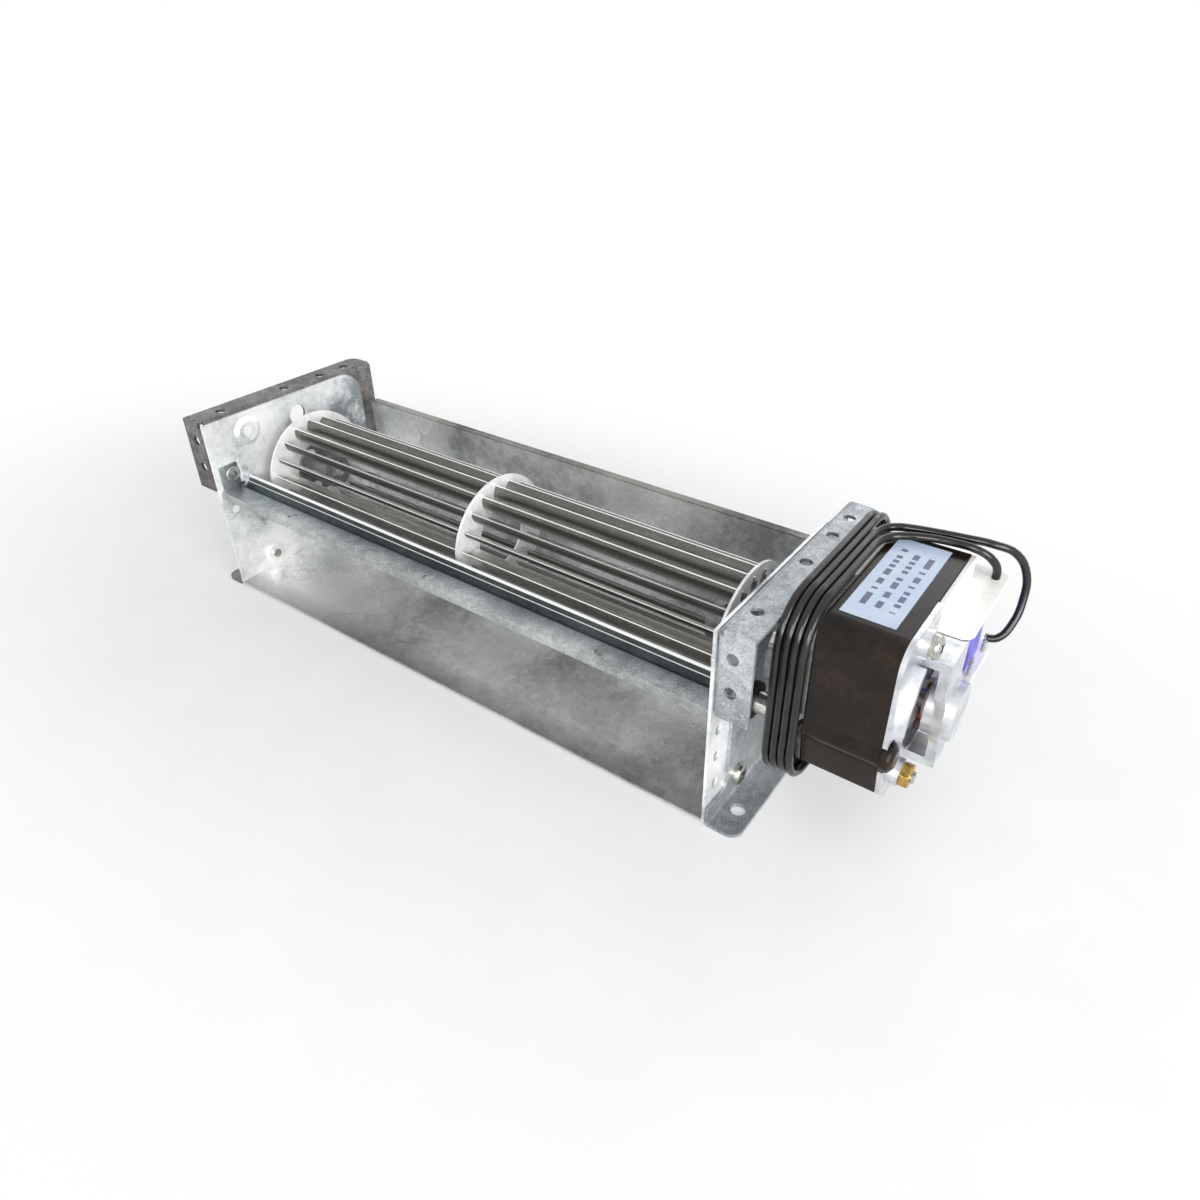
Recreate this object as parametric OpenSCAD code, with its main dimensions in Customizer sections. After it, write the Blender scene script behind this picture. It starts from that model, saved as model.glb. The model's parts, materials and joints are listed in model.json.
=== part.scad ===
// Tangential blower for an oven: a crossflow impeller in a sheet steel
// scroll housing, turned by a shaded-pole motor on the right-hand side.
// X runs along the impeller towards the motor, Y to the back, Z up.
// The origin lies on the base plane, midway between the base holes.

/* [Impeller] */
// Outer diameter of the impeller discs
impeller_d = 40; // [36:0.5:41]
// Distance between the outer faces of the two end discs
impeller_l = 178; // [120:1:182]
// Number of blades
blade_n = 18; // [14:1:24]
// Radial depth of the ring of blades
blade_depth = 6; // [4.4:0.1:6.6]
// Radius of the curved blade section
blade_curve = 4.4; // [3.8:0.1:5.4]
// Thickness of the blade strip
blade_t = 0.4; // [0.3:0.05:0.6]
// How far the blades stay inside the rim of the discs
blade_inset = 2; // [1:0.1:2.6]
// Thickness of the aluminium discs
disc_t = 0.8; // [0.6:0.1:1.2]
// Diameter of the opening in the middle disc
disc_bore_d = 20; // [12:0.5:21]
// Length of each blade end that is folded over the end disc
crimp_l = 2.2; // [1.4:0.1:3]

/* [Housing] */
// Inner width between the two cheeks
duct_w = 193.2; // [188:0.2:220]
// Height of the impeller axis above the base plane
axis_h = 37; // [36.6:0.1:44]
// Distance from the impeller axis to the front edge
front_reach = 35.3; // [33:0.1:40]
// How far the side brackets reach back past the inner face of the scroll
back_over = 2.5; // [2:0.1:8]
// Height of the side brackets above the impeller axis
top_reach = 26.2; // [25:0.1:32]
// Inner radius of the scroll around the impeller axis
scroll_r = 34.4; // [30:0.1:34.8]
// Height of the scroll back wall above the impeller axis
scroll_top = 11.6; // [6:0.1:16]
// Width of the hem on the top edge of the scroll
scroll_hem = 3; // [2:0.1:5]
// Fall of the outlet floor towards its front edge
floor_fall = 0.8; // [0:0.1:1]
// Thickness of the scroll, the vortex wall and the cheeks
sheet_t = 0.8; // [0.6:0.1:1]
// Thickness of the side brackets
bracket_t = 1; // [0.8:0.1:1.2]
// Inside radius of the bends in the sheet
bend_r = 0.8; // [0.5:0.1:1.5]
// Width of the outward flanges of the side brackets
flange_w = 9.6; // [8.6:0.1:9.8]
// Depth of the recess in the front edge of each side bracket
notch_d = 10; // [6:0.1:12]
// Height of the strip that is left under that recess
notch_sill = 6; // [4:0.1:8]
// Height of the front tab above the impeller axis, at its lower end
tab_low = 1; // [-2:0.1:4]
// Depth of the cheeks behind the impeller axis
cheek_back = 30; // [28:0.1:34]
// Radius of the upper back corner of the cheeks
cheek_corner = 8; // [4:0.5:12]

/* [Vortex wall] */
// Height of the ledge above the impeller axis
ledge_z = 1.2; // [0:0.1:4]
// Depth of the flat front strip of the ledge
ledge_d = 6.8; // [6:0.1:8]
// Drop of the front lip under the ledge
ledge_lip = 2.6; // [1.5:0.1:5]
// Running gap between the tongue and the impeller
tongue_gap = 2; // [1.5:0.1:4]
// Depth of the groove between the ledge and the tongue
tongue_dip = 2; // [1:0.1:3]
// Length of the tongue that hangs down in front of the impeller
tongue_drop = 7; // [4:0.1:10]
// Spacing of the three holes along the ledge
ledge_pitch = 62.2; // [40:0.1:80]
// Width of the upright ears at the ends of the ledge
ear_w = 8; // [7:0.1:9]
// Height of those ears
ear_h = 9; // [8:0.1:11]

/* [Holes] */
// Diameter of the fixing holes in the flanges and the ledge
fix_d = 3.3; // [2.6:0.1:4]
// Distance of the flange holes from the cheek face
fix_out = 4.4; // [4:0.1:5.5]
// Diameter of the base holes
base_d = 4; // [3:0.1:4.5]
// Distance of the base holes from the impeller axis, front and back
base_y = 26.5; // [20:0.1:30]
// Distance of the base holes from the cheek face
base_out = 5.2; // [4.6:0.1:6]
// Places of the holes in the top flange, front to back
top_y = [-24.6, 1, 16.8, 27.8]; // [-28:0.1:32]
// Heights of the holes in the front tab above the impeller axis
tab_z = [9.5, 19.2]; // [6:0.1:21]
// Heights of the holes along the front edge of the cheek
edge_z = [-25.5, -15.9, -7.2]; // [-28:0.1:-4]
// Distance of those holes from the impeller axis
edge_y = 30.7; // [28:0.1:32]
// Diameter of the large holes that take the motor grommets
mount_d = 7; // [6:0.1:8]
// Radius of the circle that the grommets sit on
mount_r = 17.4; // [16:0.1:18.5]
// Diameter of the holes for the bearing grommets
seat_d = 20; // [18:0.1:21]

/* [Shaft and bearings] */
// Diameter of the motor shaft and of the pin at the far end
shaft_d = 5; // [4:0.1:6]
// Running clearance of a shaft in its bush, on the radius
run_gap = 0.05; // [0.02:0.01:0.08]
// Clearance of a fixed piece in its seat, on the radius
fit_gap = 0.02; // [0.01:0.01:0.04]
// Outer diameter of the sintered bushes
bush_d = 10; // [9:0.1:11]
// Length of the sintered bushes
bush_l = 6; // [5:0.1:7]
// Diameter of the hub flanges riveted to the end discs
hub_d = 18; // [15:0.1:20]
// Diameter of the hub bosses
boss_d = 11; // [9:0.1:12]
// Length of the hub bosses
boss_l = 9; // [7:0.1:12]

/* [Motor] */
// Distance from the outer face of the right bracket to the stack
neck_l = 17.6; // [16.6:0.1:24]
// Thickness of the stack of laminations
stack_l = 19; // [16:0.5:30]
// Front face of the stack in front of the impeller axis
stack_front = 24.7; // [24:0.1:27]
// Back face of the stack behind the impeller axis
stack_back = 24; // [23:0.1:27]
// Top face of the stack above the impeller axis
stack_top = 29.1; // [28.6:0.1:32]
// Bottom face of the stack below the impeller axis
stack_low = 21; // [20:0.1:24]
// Radius of the rounded corners of the stack
stack_corner = 6; // [4:0.5:6.5]
// Bore of the stack
bore_d = 19; // [18:0.1:19.6]
// Air gap between the stack and the rotor core
air_gap = 0.4; // [0.3:0.05:0.6]
// Width of the limb that carries the coil
limb_w = 7; // [6:0.1:8]
// Width of the coil window in front of that limb
window_w = 6; // [5:0.1:6.4]
// Lower edge of the coil window above the impeller axis
window_low = -0.7; // [-2:0.1:0.5]
// Upper edge of the coil window above the impeller axis
window_top = 22.3; // [21.8:0.1:23]
// Thickness of the bobbin walls and flanges
bobbin_t = 1.4; // [1:0.1:1.6]
// How far the bobbin flanges stand out beyond the stack
bobbin_out = 8.8; // [8.4:0.1:10]
// How far the bobbin flanges stand out behind the limb
bobbin_back = 7; // [6:0.1:8]
// How far the wound coil stands out beyond the stack
coil_out = 6.4; // [5:0.1:6.8]
// Length and width of the rating label
label_size = [13, 38]; // [8:0.5:39]

/* [Motor brackets] */
// Height of the bracket bridges above the stack faces
bridge_h = 8; // [7.6:0.1:9]
// Thickness of the bridges and of their legs
bridge_t = 2.4; // [2:0.1:2.6]
// Height of the upper leg above the impeller axis
leg_top = 20.6; // [18:0.1:21]
// Depth of the lower leg below the impeller axis
leg_low = 15.2; // [14:0.1:17]
// Thickness of the foot plates of the brackets
foot_t = 1.2; // [1:0.1:1.4]
// Outer diameter of the bearing housing in each bracket
housing_d = 15; // [13:0.1:16]
// Depth of the bearing housings outside the bridges
housing_out = 1.2; // [0.8:0.1:2]
// Height of the curved front wall of the brackets
skirt_l = 3.2; // [2.4:0.1:5]
// Outer radius of that wall around the shaft
skirt_r = 23; // [21:0.1:24]
// Diameter of the screws through the stack
bolt_d = 3; // [2.5:0.1:3.5]
// Diameter of the posts round those screws
post_d = 7; // [6.4:0.1:8]
// Height of those posts above the stack faces
post_h = 3; // [2:0.1:4]
// Diameter of the rod in the front groove of the stack
rod_d = 6.2; // [5:0.1:7]

/* [Leads] */
// Diameter of each insulated lead
lead_d = 2.1; // [1.6:0.1:2.1]
// Bare length at the end of each lead
bare_l = 6; // [4:0.5:8]
// Diameter of the bare strands
bare_d = 1.2; // [0.8:0.1:1.6]
// Number of turns lying side by side round the neck
lead_turns = 4; // [2:1:4]

/* [Hidden] */
$fn = 48;

wall_x = duct_w / 2;
plane_x = wall_x + sheet_t;
outer_x = plane_x + bracket_t;
base_clear = bracket_t + 0.2;
back_reach = scroll_r + back_over;
impeller_r = impeller_d / 2;
disc_x = impeller_l / 2;
blade_r_out = impeller_r - blade_inset;
blade_r_in = blade_r_out - blade_depth;
blade_steps = 5;
slot_gap = 0.05;
touch = 0.3;

// Motor stations along X
stack_x0 = outer_x + neck_l;
stack_x1 = stack_x0 + stack_l;
stack_mid = (stack_x0 + stack_x1) / 2;
rotor_core_r = bore_d / 2 - air_gap;
limb_y = stack_back - limb_w;
window_y = limb_y - window_w;

// Screws through the stack, as places in Y and Z from the axis
bolts = [[-12.6, 25], [-13.8, -12.4], [19.5, -12]];
// Angles of the three motor grommets
mount_a = [86, 206, 326];
rod_y = -stack_front + rod_d / 2 - 1.1;
rod_z = -1;

// Places in Y and Z of the small features of the side walls
dish = [-19.6, 18.6];
dish_d = 10;
dish_hole_d = 4;
screw_yz = [-20.6, -29.8];
screw_d = 3;
collar_h = 1.2;
rivet_yz = [-29.4, 6.4];
rivet_d = 3;
lug_y = [-26, -9];
lug_w = 8;
ledge_set = 0.6;
ledge_hole_in = 3.4;
tongue_a = 6;

// Impeller details
blade_mid = (blade_r_in + blade_r_out) / 2;
hub_t = 1.2;
spigot_d = 8;
hub_rivet_r = 7.2;
hub_rivet_d = 2;
hub_head_d = 3.2;
hub_head_h = 0.8;
set_d = 3;
set_x = disc_x - disc_t - hub_t - boss_l / 2;
bush_x = (wall_x + outer_x) / 2;
lip_t = 1.5;
lip_w = 1.5;
washer_t = 0.8;
washer_d = 8;

// Motor details
back_corner = 1.5;
bolt_gap = 0.05;
seat_gap = 0.1;
shade_a = [120, 160, 300, 340];
shade_r = 11.2;
shade_d = 2;
shade_t = 1.6;
label_y = 1.6;
upper_lobe_y = -1;
lower_lobe_y = 8.2;
terminal_x = stack_x1 + coil_out + 1.2;
terminal_y = [14, 26];
nut_h = 2.4;
ear_d = 6.4;
skirt_t = 2.2;
skirt_a = [35, 79];
cup_end = 0.9;

// Turns of the leads round the neck of the motor
turns_t = lead_d + 0.6;
turns_y1 = stack_back + bobbin_back + 0.4;
turns_z1 = stack_top + 0.2;
turns_r0 = 10;
turns_r1 = 8;
turns_x1 = stack_x0 - 0.2;
turns_x0 = turns_x1 - lead_turns * lead_d - 0.1;

// Routes of the two leads from the coil to the turns, and of their free ends
eyelet_d = 3.2;
eyelet_rise = 4.2;
eyelet_z = window_low + seat_gap + bobbin_t + eyelet_rise;
run_z = turns_z1 + turns_t / 2;
route_a = [[terminal_x + 0.3, terminal_y[1], eyelet_z], [145.2, 26.8, 5.6], [147.2, 29.5, 9],
    [147.8, 32.5, 15.5], [146.8, 33.6, 22], [143.6, 32.2, 27.4], [138.6, 29, 30], [132, 27, 30.6],
    [125, 25.6, 30.6], [119, 24, 30.6], [turns_x1, 22.6, run_z]];
route_b = [[141, 27, window_top - seat_gap], [141, 26.8, 24.4], [139.8, 25.6, 27.4], [136, 23.8, 30.2],
    [130, 23, 30.7], [124, 21.6, 30.7], [119, 19.6, 30.7], [turns_x1, 17.6, run_z]];
tail_y = turns_y1 + turns_t / 2;
tail_a = [[turns_x0, tail_y, -12.2], [104.2, 33, -11.6], [101.2, 33, -12.9], [100, 33, -16], [100, 33, -24]];
tail_b = [[turns_x0, tail_y, -4.6], [104.6, 32, -4.2], [101.6, 30.8, -5.4], [100.3, 29.9, -8.6],
    [100.2, 29.6, -17]];

// Moves a shape drawn round the impeller axis to its height
module at_axis() translate([0, 0, axis_h]) children();

// Extrudes a section drawn in Y and Z along X
module along_x(x0, x1) translate([x0, 0, 0]) rotate([90, 0, 90]) linear_extrude(x1 - x0) children();

// A bar along X between two stations, centred on a place in Y and Z
module rod_x(x0, x1, d, y = 0, z = 0) translate([x0, y, z]) rotate([0, 90, 0]) cylinder(h = x1 - x0, d = d);

// Extrudes a section drawn in X and Z along Y
module along_y(y0, y1) translate([0, y1, 0]) rotate([90, 0, 0]) linear_extrude(y1 - y0) children();

module both_sides() {
    children();
    mirror([1, 0, 0]) children();
}

// Quarter of a ring, the section of one bend in a sheet
module quarter_bend(r_in, t) intersection() {
    difference() {
        circle(r_in + t);
        circle(r_in);
    }
    square(r_in + t);
}

// Strip of sheet that follows a list of corner points
module bent_sheet(pts, t) {
    for (i = [0 : len(pts) - 2]) {
        a = pts[i];
        b = pts[i + 1];
        n = [a.y - b.y, b.x - a.x] / norm(b - a) * t / 2;
        polygon([a + n, b + n, b - n, a - n]);
    }
    for (i = [1 : len(pts) - 2]) translate(pts[i]) circle(d = t);
}

// Rectangle with round corners, given by its two corner points
module round_rect(a, b, r) {
    translate([a.x + r, a.y]) square([b.x - a.x - 2 * r, b.y - a.y]);
    translate([a.x, a.y + r]) square([b.x - a.x, b.y - a.y - 2 * r]);
    for (y = [a.x + r, b.x - r], z = [a.y + r, b.y - r]) translate([y, z]) circle(r);
}

// Pan-head screw that points along -X with its head seat at x = 0
module pan_screw(d, l, head_d, head_h) {
    rod_x(-l, 0, d);
    difference() {
        rod_x(0, head_h, head_d);
        translate([head_h - 0.6, -head_d / 2, -0.4]) cube([1, head_d, 0.8]);
    }
}

// Six-sided nut from x = 0 to x = h with a clear bore
module hex_nut(across, h, bore) difference() {
    rotate([0, 90, 0]) cylinder(h = h, d = across / cos(30), $fn = 6);
    rod_x(-1, h + 1, bore);
}

// Housing

module right_bracket() color("#8d9499") at_axis() side_bracket();
module left_bracket() color("#7f868b") at_axis() mirror([1, 0, 0]) side_bracket();

// Web with an outward flange along the top and the bottom, bent from one sheet
module bracket_section() {
    b = bracket_t + bend_r;
    flat = flange_w - b;
    translate([plane_x, -axis_h + b]) square([bracket_t, axis_h + top_reach - 2 * b]);
    translate([plane_x + b, top_reach - b]) mirror([1, 0]) quarter_bend(bend_r, bracket_t);
    translate([plane_x + b, top_reach - bracket_t]) square([flat, bracket_t]);
    translate([plane_x + b, b - axis_h]) rotate(180) quarter_bend(bend_r, bracket_t);
    translate([plane_x + b, -axis_h]) square([flat, bracket_t]);
}

module front_tab() {
    b = bracket_t + bend_r;
    y0 = -front_reach;
    translate([0, 0, tab_low]) {
        linear_extrude(top_reach - b - tab_low)
            translate([plane_x + b, y0 + b]) rotate(180) quarter_bend(bend_r, bracket_t);
        linear_extrude(top_reach - tab_low)
            translate([plane_x + b, y0]) square([flange_w - b, bracket_t]);
    }
}

// What is left of a square corner outside its rounding, as a cutter along Z
module corner_waste(r) linear_extrude(200, center = true) difference() {
    translate([-r, -r]) square(r + 1);
    translate([-r, -r]) circle(r);
}

module side_bracket() {
    b = bracket_t + bend_r;
    y0 = -front_reach;
    relief = 0.3;
    corner_r = 3.5;
    edge_x = plane_x + flange_w;
    difference() {
        union() {
            difference() {
                along_y(y0, back_reach) bracket_section();
                translate([plane_x - 1, y0 - 1, tab_low]) cube([b + 1, b + 1, top_reach]);
                translate([plane_x, y0 - 1, top_reach - b]) cube([flange_w + 1, b + relief, b + 1]);
            }
            front_tab();
        }
        along_x(plane_x - 1, outer_x + 1)
            round_rect([y0 - 5, notch_sill - axis_h], [y0 + notch_d, tab_low], 2);
        translate([edge_x, back_reach]) corner_waste(corner_r);
        translate([edge_x, y0, -axis_h - 95]) mirror([0, 1]) corner_waste(corner_r);
        for (y = top_y) translate([plane_x + fix_out, y, top_reach - 5]) cylinder(h = 9, d = fix_d);
        for (z = tab_z) translate([plane_x + fix_out, y0 + 5, z]) rotate([90, 0, 0]) cylinder(h = 9, d = fix_d);
        for (y = [-base_y, base_y]) translate([plane_x + base_out, y, -axis_h - 5]) cylinder(h = 9, d = base_d);
        web_holes();
        rod_x(plane_x - 1, outer_x + 1, dish_d, dish.x, dish.y);
    }
}

// Holes that the cheek and the bracket share
module web_holes() {
    x0 = wall_x - 5;
    x1 = outer_x + 5;
    rod_x(x0, x1, seat_d);
    for (a = mount_a) rod_x(x0, x1, mount_d, mount_r * cos(a), mount_r * sin(a));
    rod_x(x0, x1, screw_d + 2 * fit_gap, screw_yz.x, screw_yz.y);
    rod_x(x0, x1, rivet_d + 2 * fit_gap, rivet_yz.x, rivet_yz.y);
}

module right_cheek() color("#b4bbc0") at_axis() cheek();
module left_cheek() color("#b4bbc0") at_axis() mirror([1, 0, 0]) cheek();

// Flat inner sheet with a dished hole, a screw collar and slots for the scroll
module cheek() {
    y0 = -front_reach;
    z1 = top_reach - sheet_t;
    z0 = base_clear - axis_h;
    r = cheek_corner;
    difference() {
        union() {
            along_x(wall_x, plane_x) difference() {
                translate([y0, z0]) square([cheek_back - y0, z1 - z0]);
                translate([cheek_back, z1]) difference() {
                    translate([-r, -r]) square(r + 1);
                    translate([-r, -r]) circle(r);
                }
            }
            translate([wall_x, dish.x, dish.y]) rotate([0, -90, 0])
                cylinder(h = sheet_t, d1 = dish_d, d2 = dish_d - 3);
            rod_x(wall_x - collar_h, plane_x, screw_d + 3, screw_yz.x, screw_yz.y);
        }
        web_holes();
        translate([plane_x + 0.01, dish.x, dish.y]) rotate([0, -90, 0])
            cylinder(h = sheet_t, d1 = dish_d, d2 = dish_d - 3);
        rod_x(wall_x - 5, outer_x, dish_hole_d, dish.x, dish.y);
        for (z = edge_z) rod_x(wall_x - 5, outer_x, fix_d, -edge_y, z);
        along_x(wall_x - 1, outer_x) for (y = lug_y) scroll_lug(y, slot_gap);
    }
}

// Section of one lug of the floor, grown by a gap for its slot
module scroll_lug(y, gap) {
    fall = floor_fall * -y / front_reach;
    polygon([[y - gap, -scroll_r - fall + gap], [y + lug_w + gap, -scroll_r - fall + gap],
        [y + lug_w + gap, -scroll_r - fall - sheet_t - gap], [y - gap, -scroll_r - fall - sheet_t - gap]]);
}

// Spiral wall round the impeller that runs out into the outlet floor
module scroll() color("#a3abb1") at_axis() {
    t = sheet_t;
    r = scroll_r;
    along_x(-wall_x, wall_x) {
        polygon([[0, -r], [0, -r - t], [-front_reach, -r - floor_fall - t], [-front_reach, -r - floor_fall]]);
        intersection() {
            difference() {
                circle(r + t);
                circle(r);
            }
            translate([0, -r - t]) square([r + t, r + t]);
        }
        translate([r, 0]) square([t, scroll_top]);
        translate([r, scroll_top - t]) square([scroll_hem, t]);
    }
    both_sides() along_x(wall_x, plane_x) for (y = lug_y) scroll_lug(y, 0);
}

// Ledge over the outlet, folded back into the tongue beside the impeller
module vortex_wall() color("#9aa2a8") at_axis() {
    t = sheet_t;
    y0 = -front_reach + ledge_set;
    z = ledge_z - t / 2;
    r = impeller_r + tongue_gap + t / 2;
    tip = tongue_a;
    drop = tongue_drop / r * 180 / PI;
    tongue = [for (k = [0, 0.5, 1]) let(a = tip - k * drop) [-r * cos(a), r * sin(a)]];
    groove = [(y0 + ledge_d + tongue[0].x) / 2, z - tongue_dip];
    section = concat([[y0 + t / 2, ledge_z - ledge_lip], [y0 + t / 2, z], [y0 + ledge_d, z], groove], tongue);
    difference() {
        union() {
            along_x(-wall_x, wall_x) bent_sheet(section, t);
            both_sides() along_x(wall_x - t, wall_x)
                translate([y0 + 1, z]) square([ear_w, ear_h]);
        }
        for (x = [-ledge_pitch, 0, ledge_pitch])
            translate([x, y0 + ledge_hole_in, ledge_z - 5]) cylinder(h = 9, d = fix_d);
        both_sides() rod_x(wall_x - 5, outer_x, rivet_d + 2 * fit_gap, rivet_yz.x, rivet_yz.y);
    }
}

// Rivets through the ears of the ledge, the cheeks and the brackets
module ledge_rivets() color("#c9cdd0") at_axis() both_sides() {
    x0 = wall_x - sheet_t;
    rod_x(x0 - 1, outer_x + 1, rivet_d, rivet_yz.x, rivet_yz.y);
    rod_x(x0 - 1, x0, rivet_d * 1.8, rivet_yz.x, rivet_yz.y);
    rod_x(outer_x, outer_x + 1, rivet_d * 1.8, rivet_yz.x, rivet_yz.y);
}

// Screws that pull each bracket against its cheek
module side_screws() color("#b9b29a") at_axis() both_sides()
    translate([outer_x, screw_yz.x, screw_yz.y])
        pan_screw(screw_d, bracket_t + sheet_t + collar_h + 0.8, screw_d * 2, 2);

// Impeller

// Curved strip in section, as an arc round a centre at radius blade_mid
module blade_section(t, grow = 0) {
    a0 = acos((pow(blade_r_out, 2) - pow(blade_mid, 2) - pow(blade_curve, 2)) / (2 * blade_mid * blade_curve));
    a1 = acos((pow(blade_r_in, 2) - pow(blade_mid, 2) - pow(blade_curve, 2)) / (2 * blade_mid * blade_curve));
    arc = [for (i = [0 : blade_steps]) a0 - grow + (a1 - a0 + 2 * grow) * i / blade_steps];
    outer = [for (a = arc) [cos(a), sin(a)] * (blade_curve + t / 2)];
    inner = [for (i = [blade_steps : -1 : 0]) [cos(arc[i]), sin(arc[i])] * (blade_curve - t / 2)];
    translate([blade_mid, 0]) polygon(concat(outer, inner));
}

module each_blade() for (k = [0 : blade_n - 1]) rotate(k * 360 / blade_n) children();

// Blades run through the slots of every disc and are folded over the end discs
module impeller_blades() color("#d7dadd") at_axis() {
    along_x(-disc_x - blade_t, disc_x + blade_t) each_blade() blade_section(blade_t);
    both_sides() along_x(disc_x, disc_x + blade_t) each_blade()
        translate([blade_mid - 1, blade_curve - crimp_l]) square([2, crimp_l]);
}

module slotted_disc(x0, bore) along_x(x0, x0 + disc_t) difference() {
    circle(impeller_r, $fn = 96);
    circle(d = bore);
    each_blade() blade_section(blade_t + 2 * slot_gap, 1);
}

module end_disc() difference() {
    slotted_disc(disc_x - disc_t, spigot_d + 2 * fit_gap);
    for (a = [0, 120, 240]) rod_x(disc_x - 5, disc_x + 5, hub_rivet_d + 2 * fit_gap, hub_rivet_r * cos(a), hub_rivet_r * sin(a));
}

module disc_right() color("#e3e5e7") at_axis() end_disc();
module disc_left() color("#e3e5e7") at_axis() mirror([1, 0, 0]) end_disc();
module disc_middle() color("#e3e5e7") at_axis() slotted_disc(-disc_t / 2, disc_bore_d);

// Flanged hub on the inner face of an end disc
module hub() {
    x1 = disc_x - disc_t;
    difference() {
        union() {
            rod_x(x1, disc_x, spigot_d);
            rod_x(x1 - hub_t, x1, hub_d);
            rod_x(x1 - hub_t - boss_l, x1 - hub_t, boss_d);
        }
        rod_x(x1 - hub_t - boss_l - 1, disc_x + 1, shaft_d + 2 * fit_gap);
        for (a = [0, 120, 240]) rod_x(x1 - hub_t - 1, x1 + 1, hub_rivet_d + 2 * fit_gap, hub_rivet_r * cos(a), hub_rivet_r * sin(a));
    }
}

module hub_left() color("#c0c4c8") at_axis() mirror([1, 0, 0]) hub();
module hub_right() color("#c0c4c8") at_axis() difference() {
    hub();
    translate([set_x, 0, 0]) cylinder(h = boss_d, d = set_d + 2 * fit_gap);
}

module hub_rivets() color("#cfd2d5") at_axis() both_sides() for (a = [0, 120, 240])
    translate([0, hub_rivet_r * cos(a), hub_rivet_r * sin(a)]) {
        x0 = disc_x - disc_t - hub_t;
        rod_x(x0 - hub_head_h, disc_x + hub_head_h, hub_rivet_d);
        rod_x(disc_x, disc_x + hub_head_h, hub_head_d);
        rod_x(x0 - hub_head_h, x0, hub_head_d);
    }

// Grub screw that holds the hub on the motor shaft
module set_screw() color("#4b4e52") at_axis() translate([set_x, 0, shaft_d / 2 + fit_gap]) difference() {
    cylinder(h = (boss_d - shaft_d) / 2 - 0.4, d = set_d);
    translate([0, 0, 1.4]) cylinder(h = 5, d = 1.5, $fn = 6);
}

// Pin of the left hub, which turns in the bush of the left cheek
module stub_shaft() color("#9ea3a8") at_axis()
    rod_x(-bush_x - bush_l / 2 - 1.5, -disc_x + disc_t + hub_t + boss_l - 1, shaft_d);

// Rubber ring that snaps into the left cheek and bracket and holds the bush
module bearing_grommet() color("#2b2b2d") at_axis() difference() {
    union() {
        rod_x(-outer_x - lip_t, -wall_x + lip_t, seat_d - 2 * fit_gap);
        rod_x(-outer_x - lip_t, -outer_x, seat_d + 2 * lip_w + 1);
        rod_x(-wall_x, -wall_x + lip_t, seat_d + 2 * lip_w + 1);
    }
    rod_x(-outer_x - 5, -wall_x + 5, bush_d + 2 * fit_gap);
}

module bush(x) difference() {
    rod_x(x - bush_l / 2, x + bush_l / 2, bush_d);
    rod_x(x - bush_l, x + bush_l, shaft_d + 2 * run_gap);
}

module bearing_bush() color("#b08d57") at_axis() bush(-bush_x);

module washer_x(x, d, t) difference() {
    rod_x(x, x + t, d);
    rod_x(x - 1, x + t + 1, shaft_d + 2 * fit_gap);
}

module thrust_washer() color("#e8e6df") at_axis() washer_x(-bush_x + bush_l / 2 + touch, washer_d, washer_t);

// Motor

// Outline of the stack: large radius in front, small at the back, flattened below
module stack_outline() difference() {
    union() {
        round_rect([-stack_front, -stack_low], [stack_back, stack_top], stack_corner);
        translate([0, -stack_low + back_corner]) square([stack_back, stack_top + stack_low - 2 * back_corner]);
        round_rect([0, -stack_low], [stack_back, stack_top], back_corner);
    }
    translate([-stack_front, 0]) polygon([[-1, -4.5], [0, -4.5], [1.3, -12.5],
        [9.7, -stack_low], [9.7, -stack_low - 1], [-1, -stack_low - 1]]);
}

module at_bolts(list = [0, 1, 2]) for (i = list) translate([0, bolts[i].x, bolts[i].y]) children();

module stator_stack() color("#2a2522") at_axis() along_x(stack_x0, stack_x1) difference() {
    stack_outline();
    circle(d = bore_d);
    translate([window_y, window_low]) square([window_w, window_top - window_low]);
    for (p = bolts) translate(p) circle(d = bolt_d + 2 * bolt_gap);
    translate([rod_y, rod_z]) circle(d = rod_d + 2 * fit_gap);
    for (a = shade_a) rotate(a) translate([shade_r, 0]) circle(d = shade_d + 2 * fit_gap);
}

// Two closed copper loops that each embrace one side of a pole
module shading_rings() color("#b5652f") at_axis() for (pair = [[0, 1], [2, 3]]) {
    p = [for (i = pair) shade_r * [cos(shade_a[i]), sin(shade_a[i])]];
    for (q = p) rod_x(stack_x0, stack_x1, shade_d, q.x, q.y);
    for (x = [stack_x0 - shade_t, stack_x1]) along_x(x, x + shade_t) {
        bent_sheet([p[0], (p[0] + p[1]) / 2, p[1]], shade_d);
        for (q = p) translate(q) circle(d = shade_d);
    }
}

// Rod in the front groove of the stack, with its headed right end
module stack_rod() color("#1c1a19") at_axis() {
    rod_x(stack_x0, stack_x1, rod_d, rod_y, rod_z);
    rod_x(stack_x1, stack_x1 + 2, rod_d + 1.2, rod_y, rod_z);
    translate([stack_x1 + 2, rod_y, rod_z]) rotate([0, 90, 0])
        cylinder(h = 1, d1 = rod_d + 1.2, d2 = rod_d - 1.4);
}

module rating_label() color("#cdd9ea") at_axis()
    translate([stack_mid - 1 - label_size.x / 2, label_y - label_size.y / 2, stack_top])
        cube([label_size.x, label_size.y, 0.2]);

// Half plan of a bobbin flange: a strip through the window and a wide end lobe
module flange_plan(y0) {
    g = seat_gap;
    y1 = stack_back + bobbin_back;
    x1 = stack_x1 + bobbin_out;
    translate([stack_mid, window_y + g]) square([x1 - stack_mid - 3, y1 - window_y - g]);
    translate([stack_x1 + g, y0]) square([4, y1 - y0]);
    round_rect([stack_x1 + g, y0], [x1, y1], 3);
}

module both_ends() {
    children();
    translate([2 * stack_mid, 0, 0]) mirror([1, 0, 0]) children();
}

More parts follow.
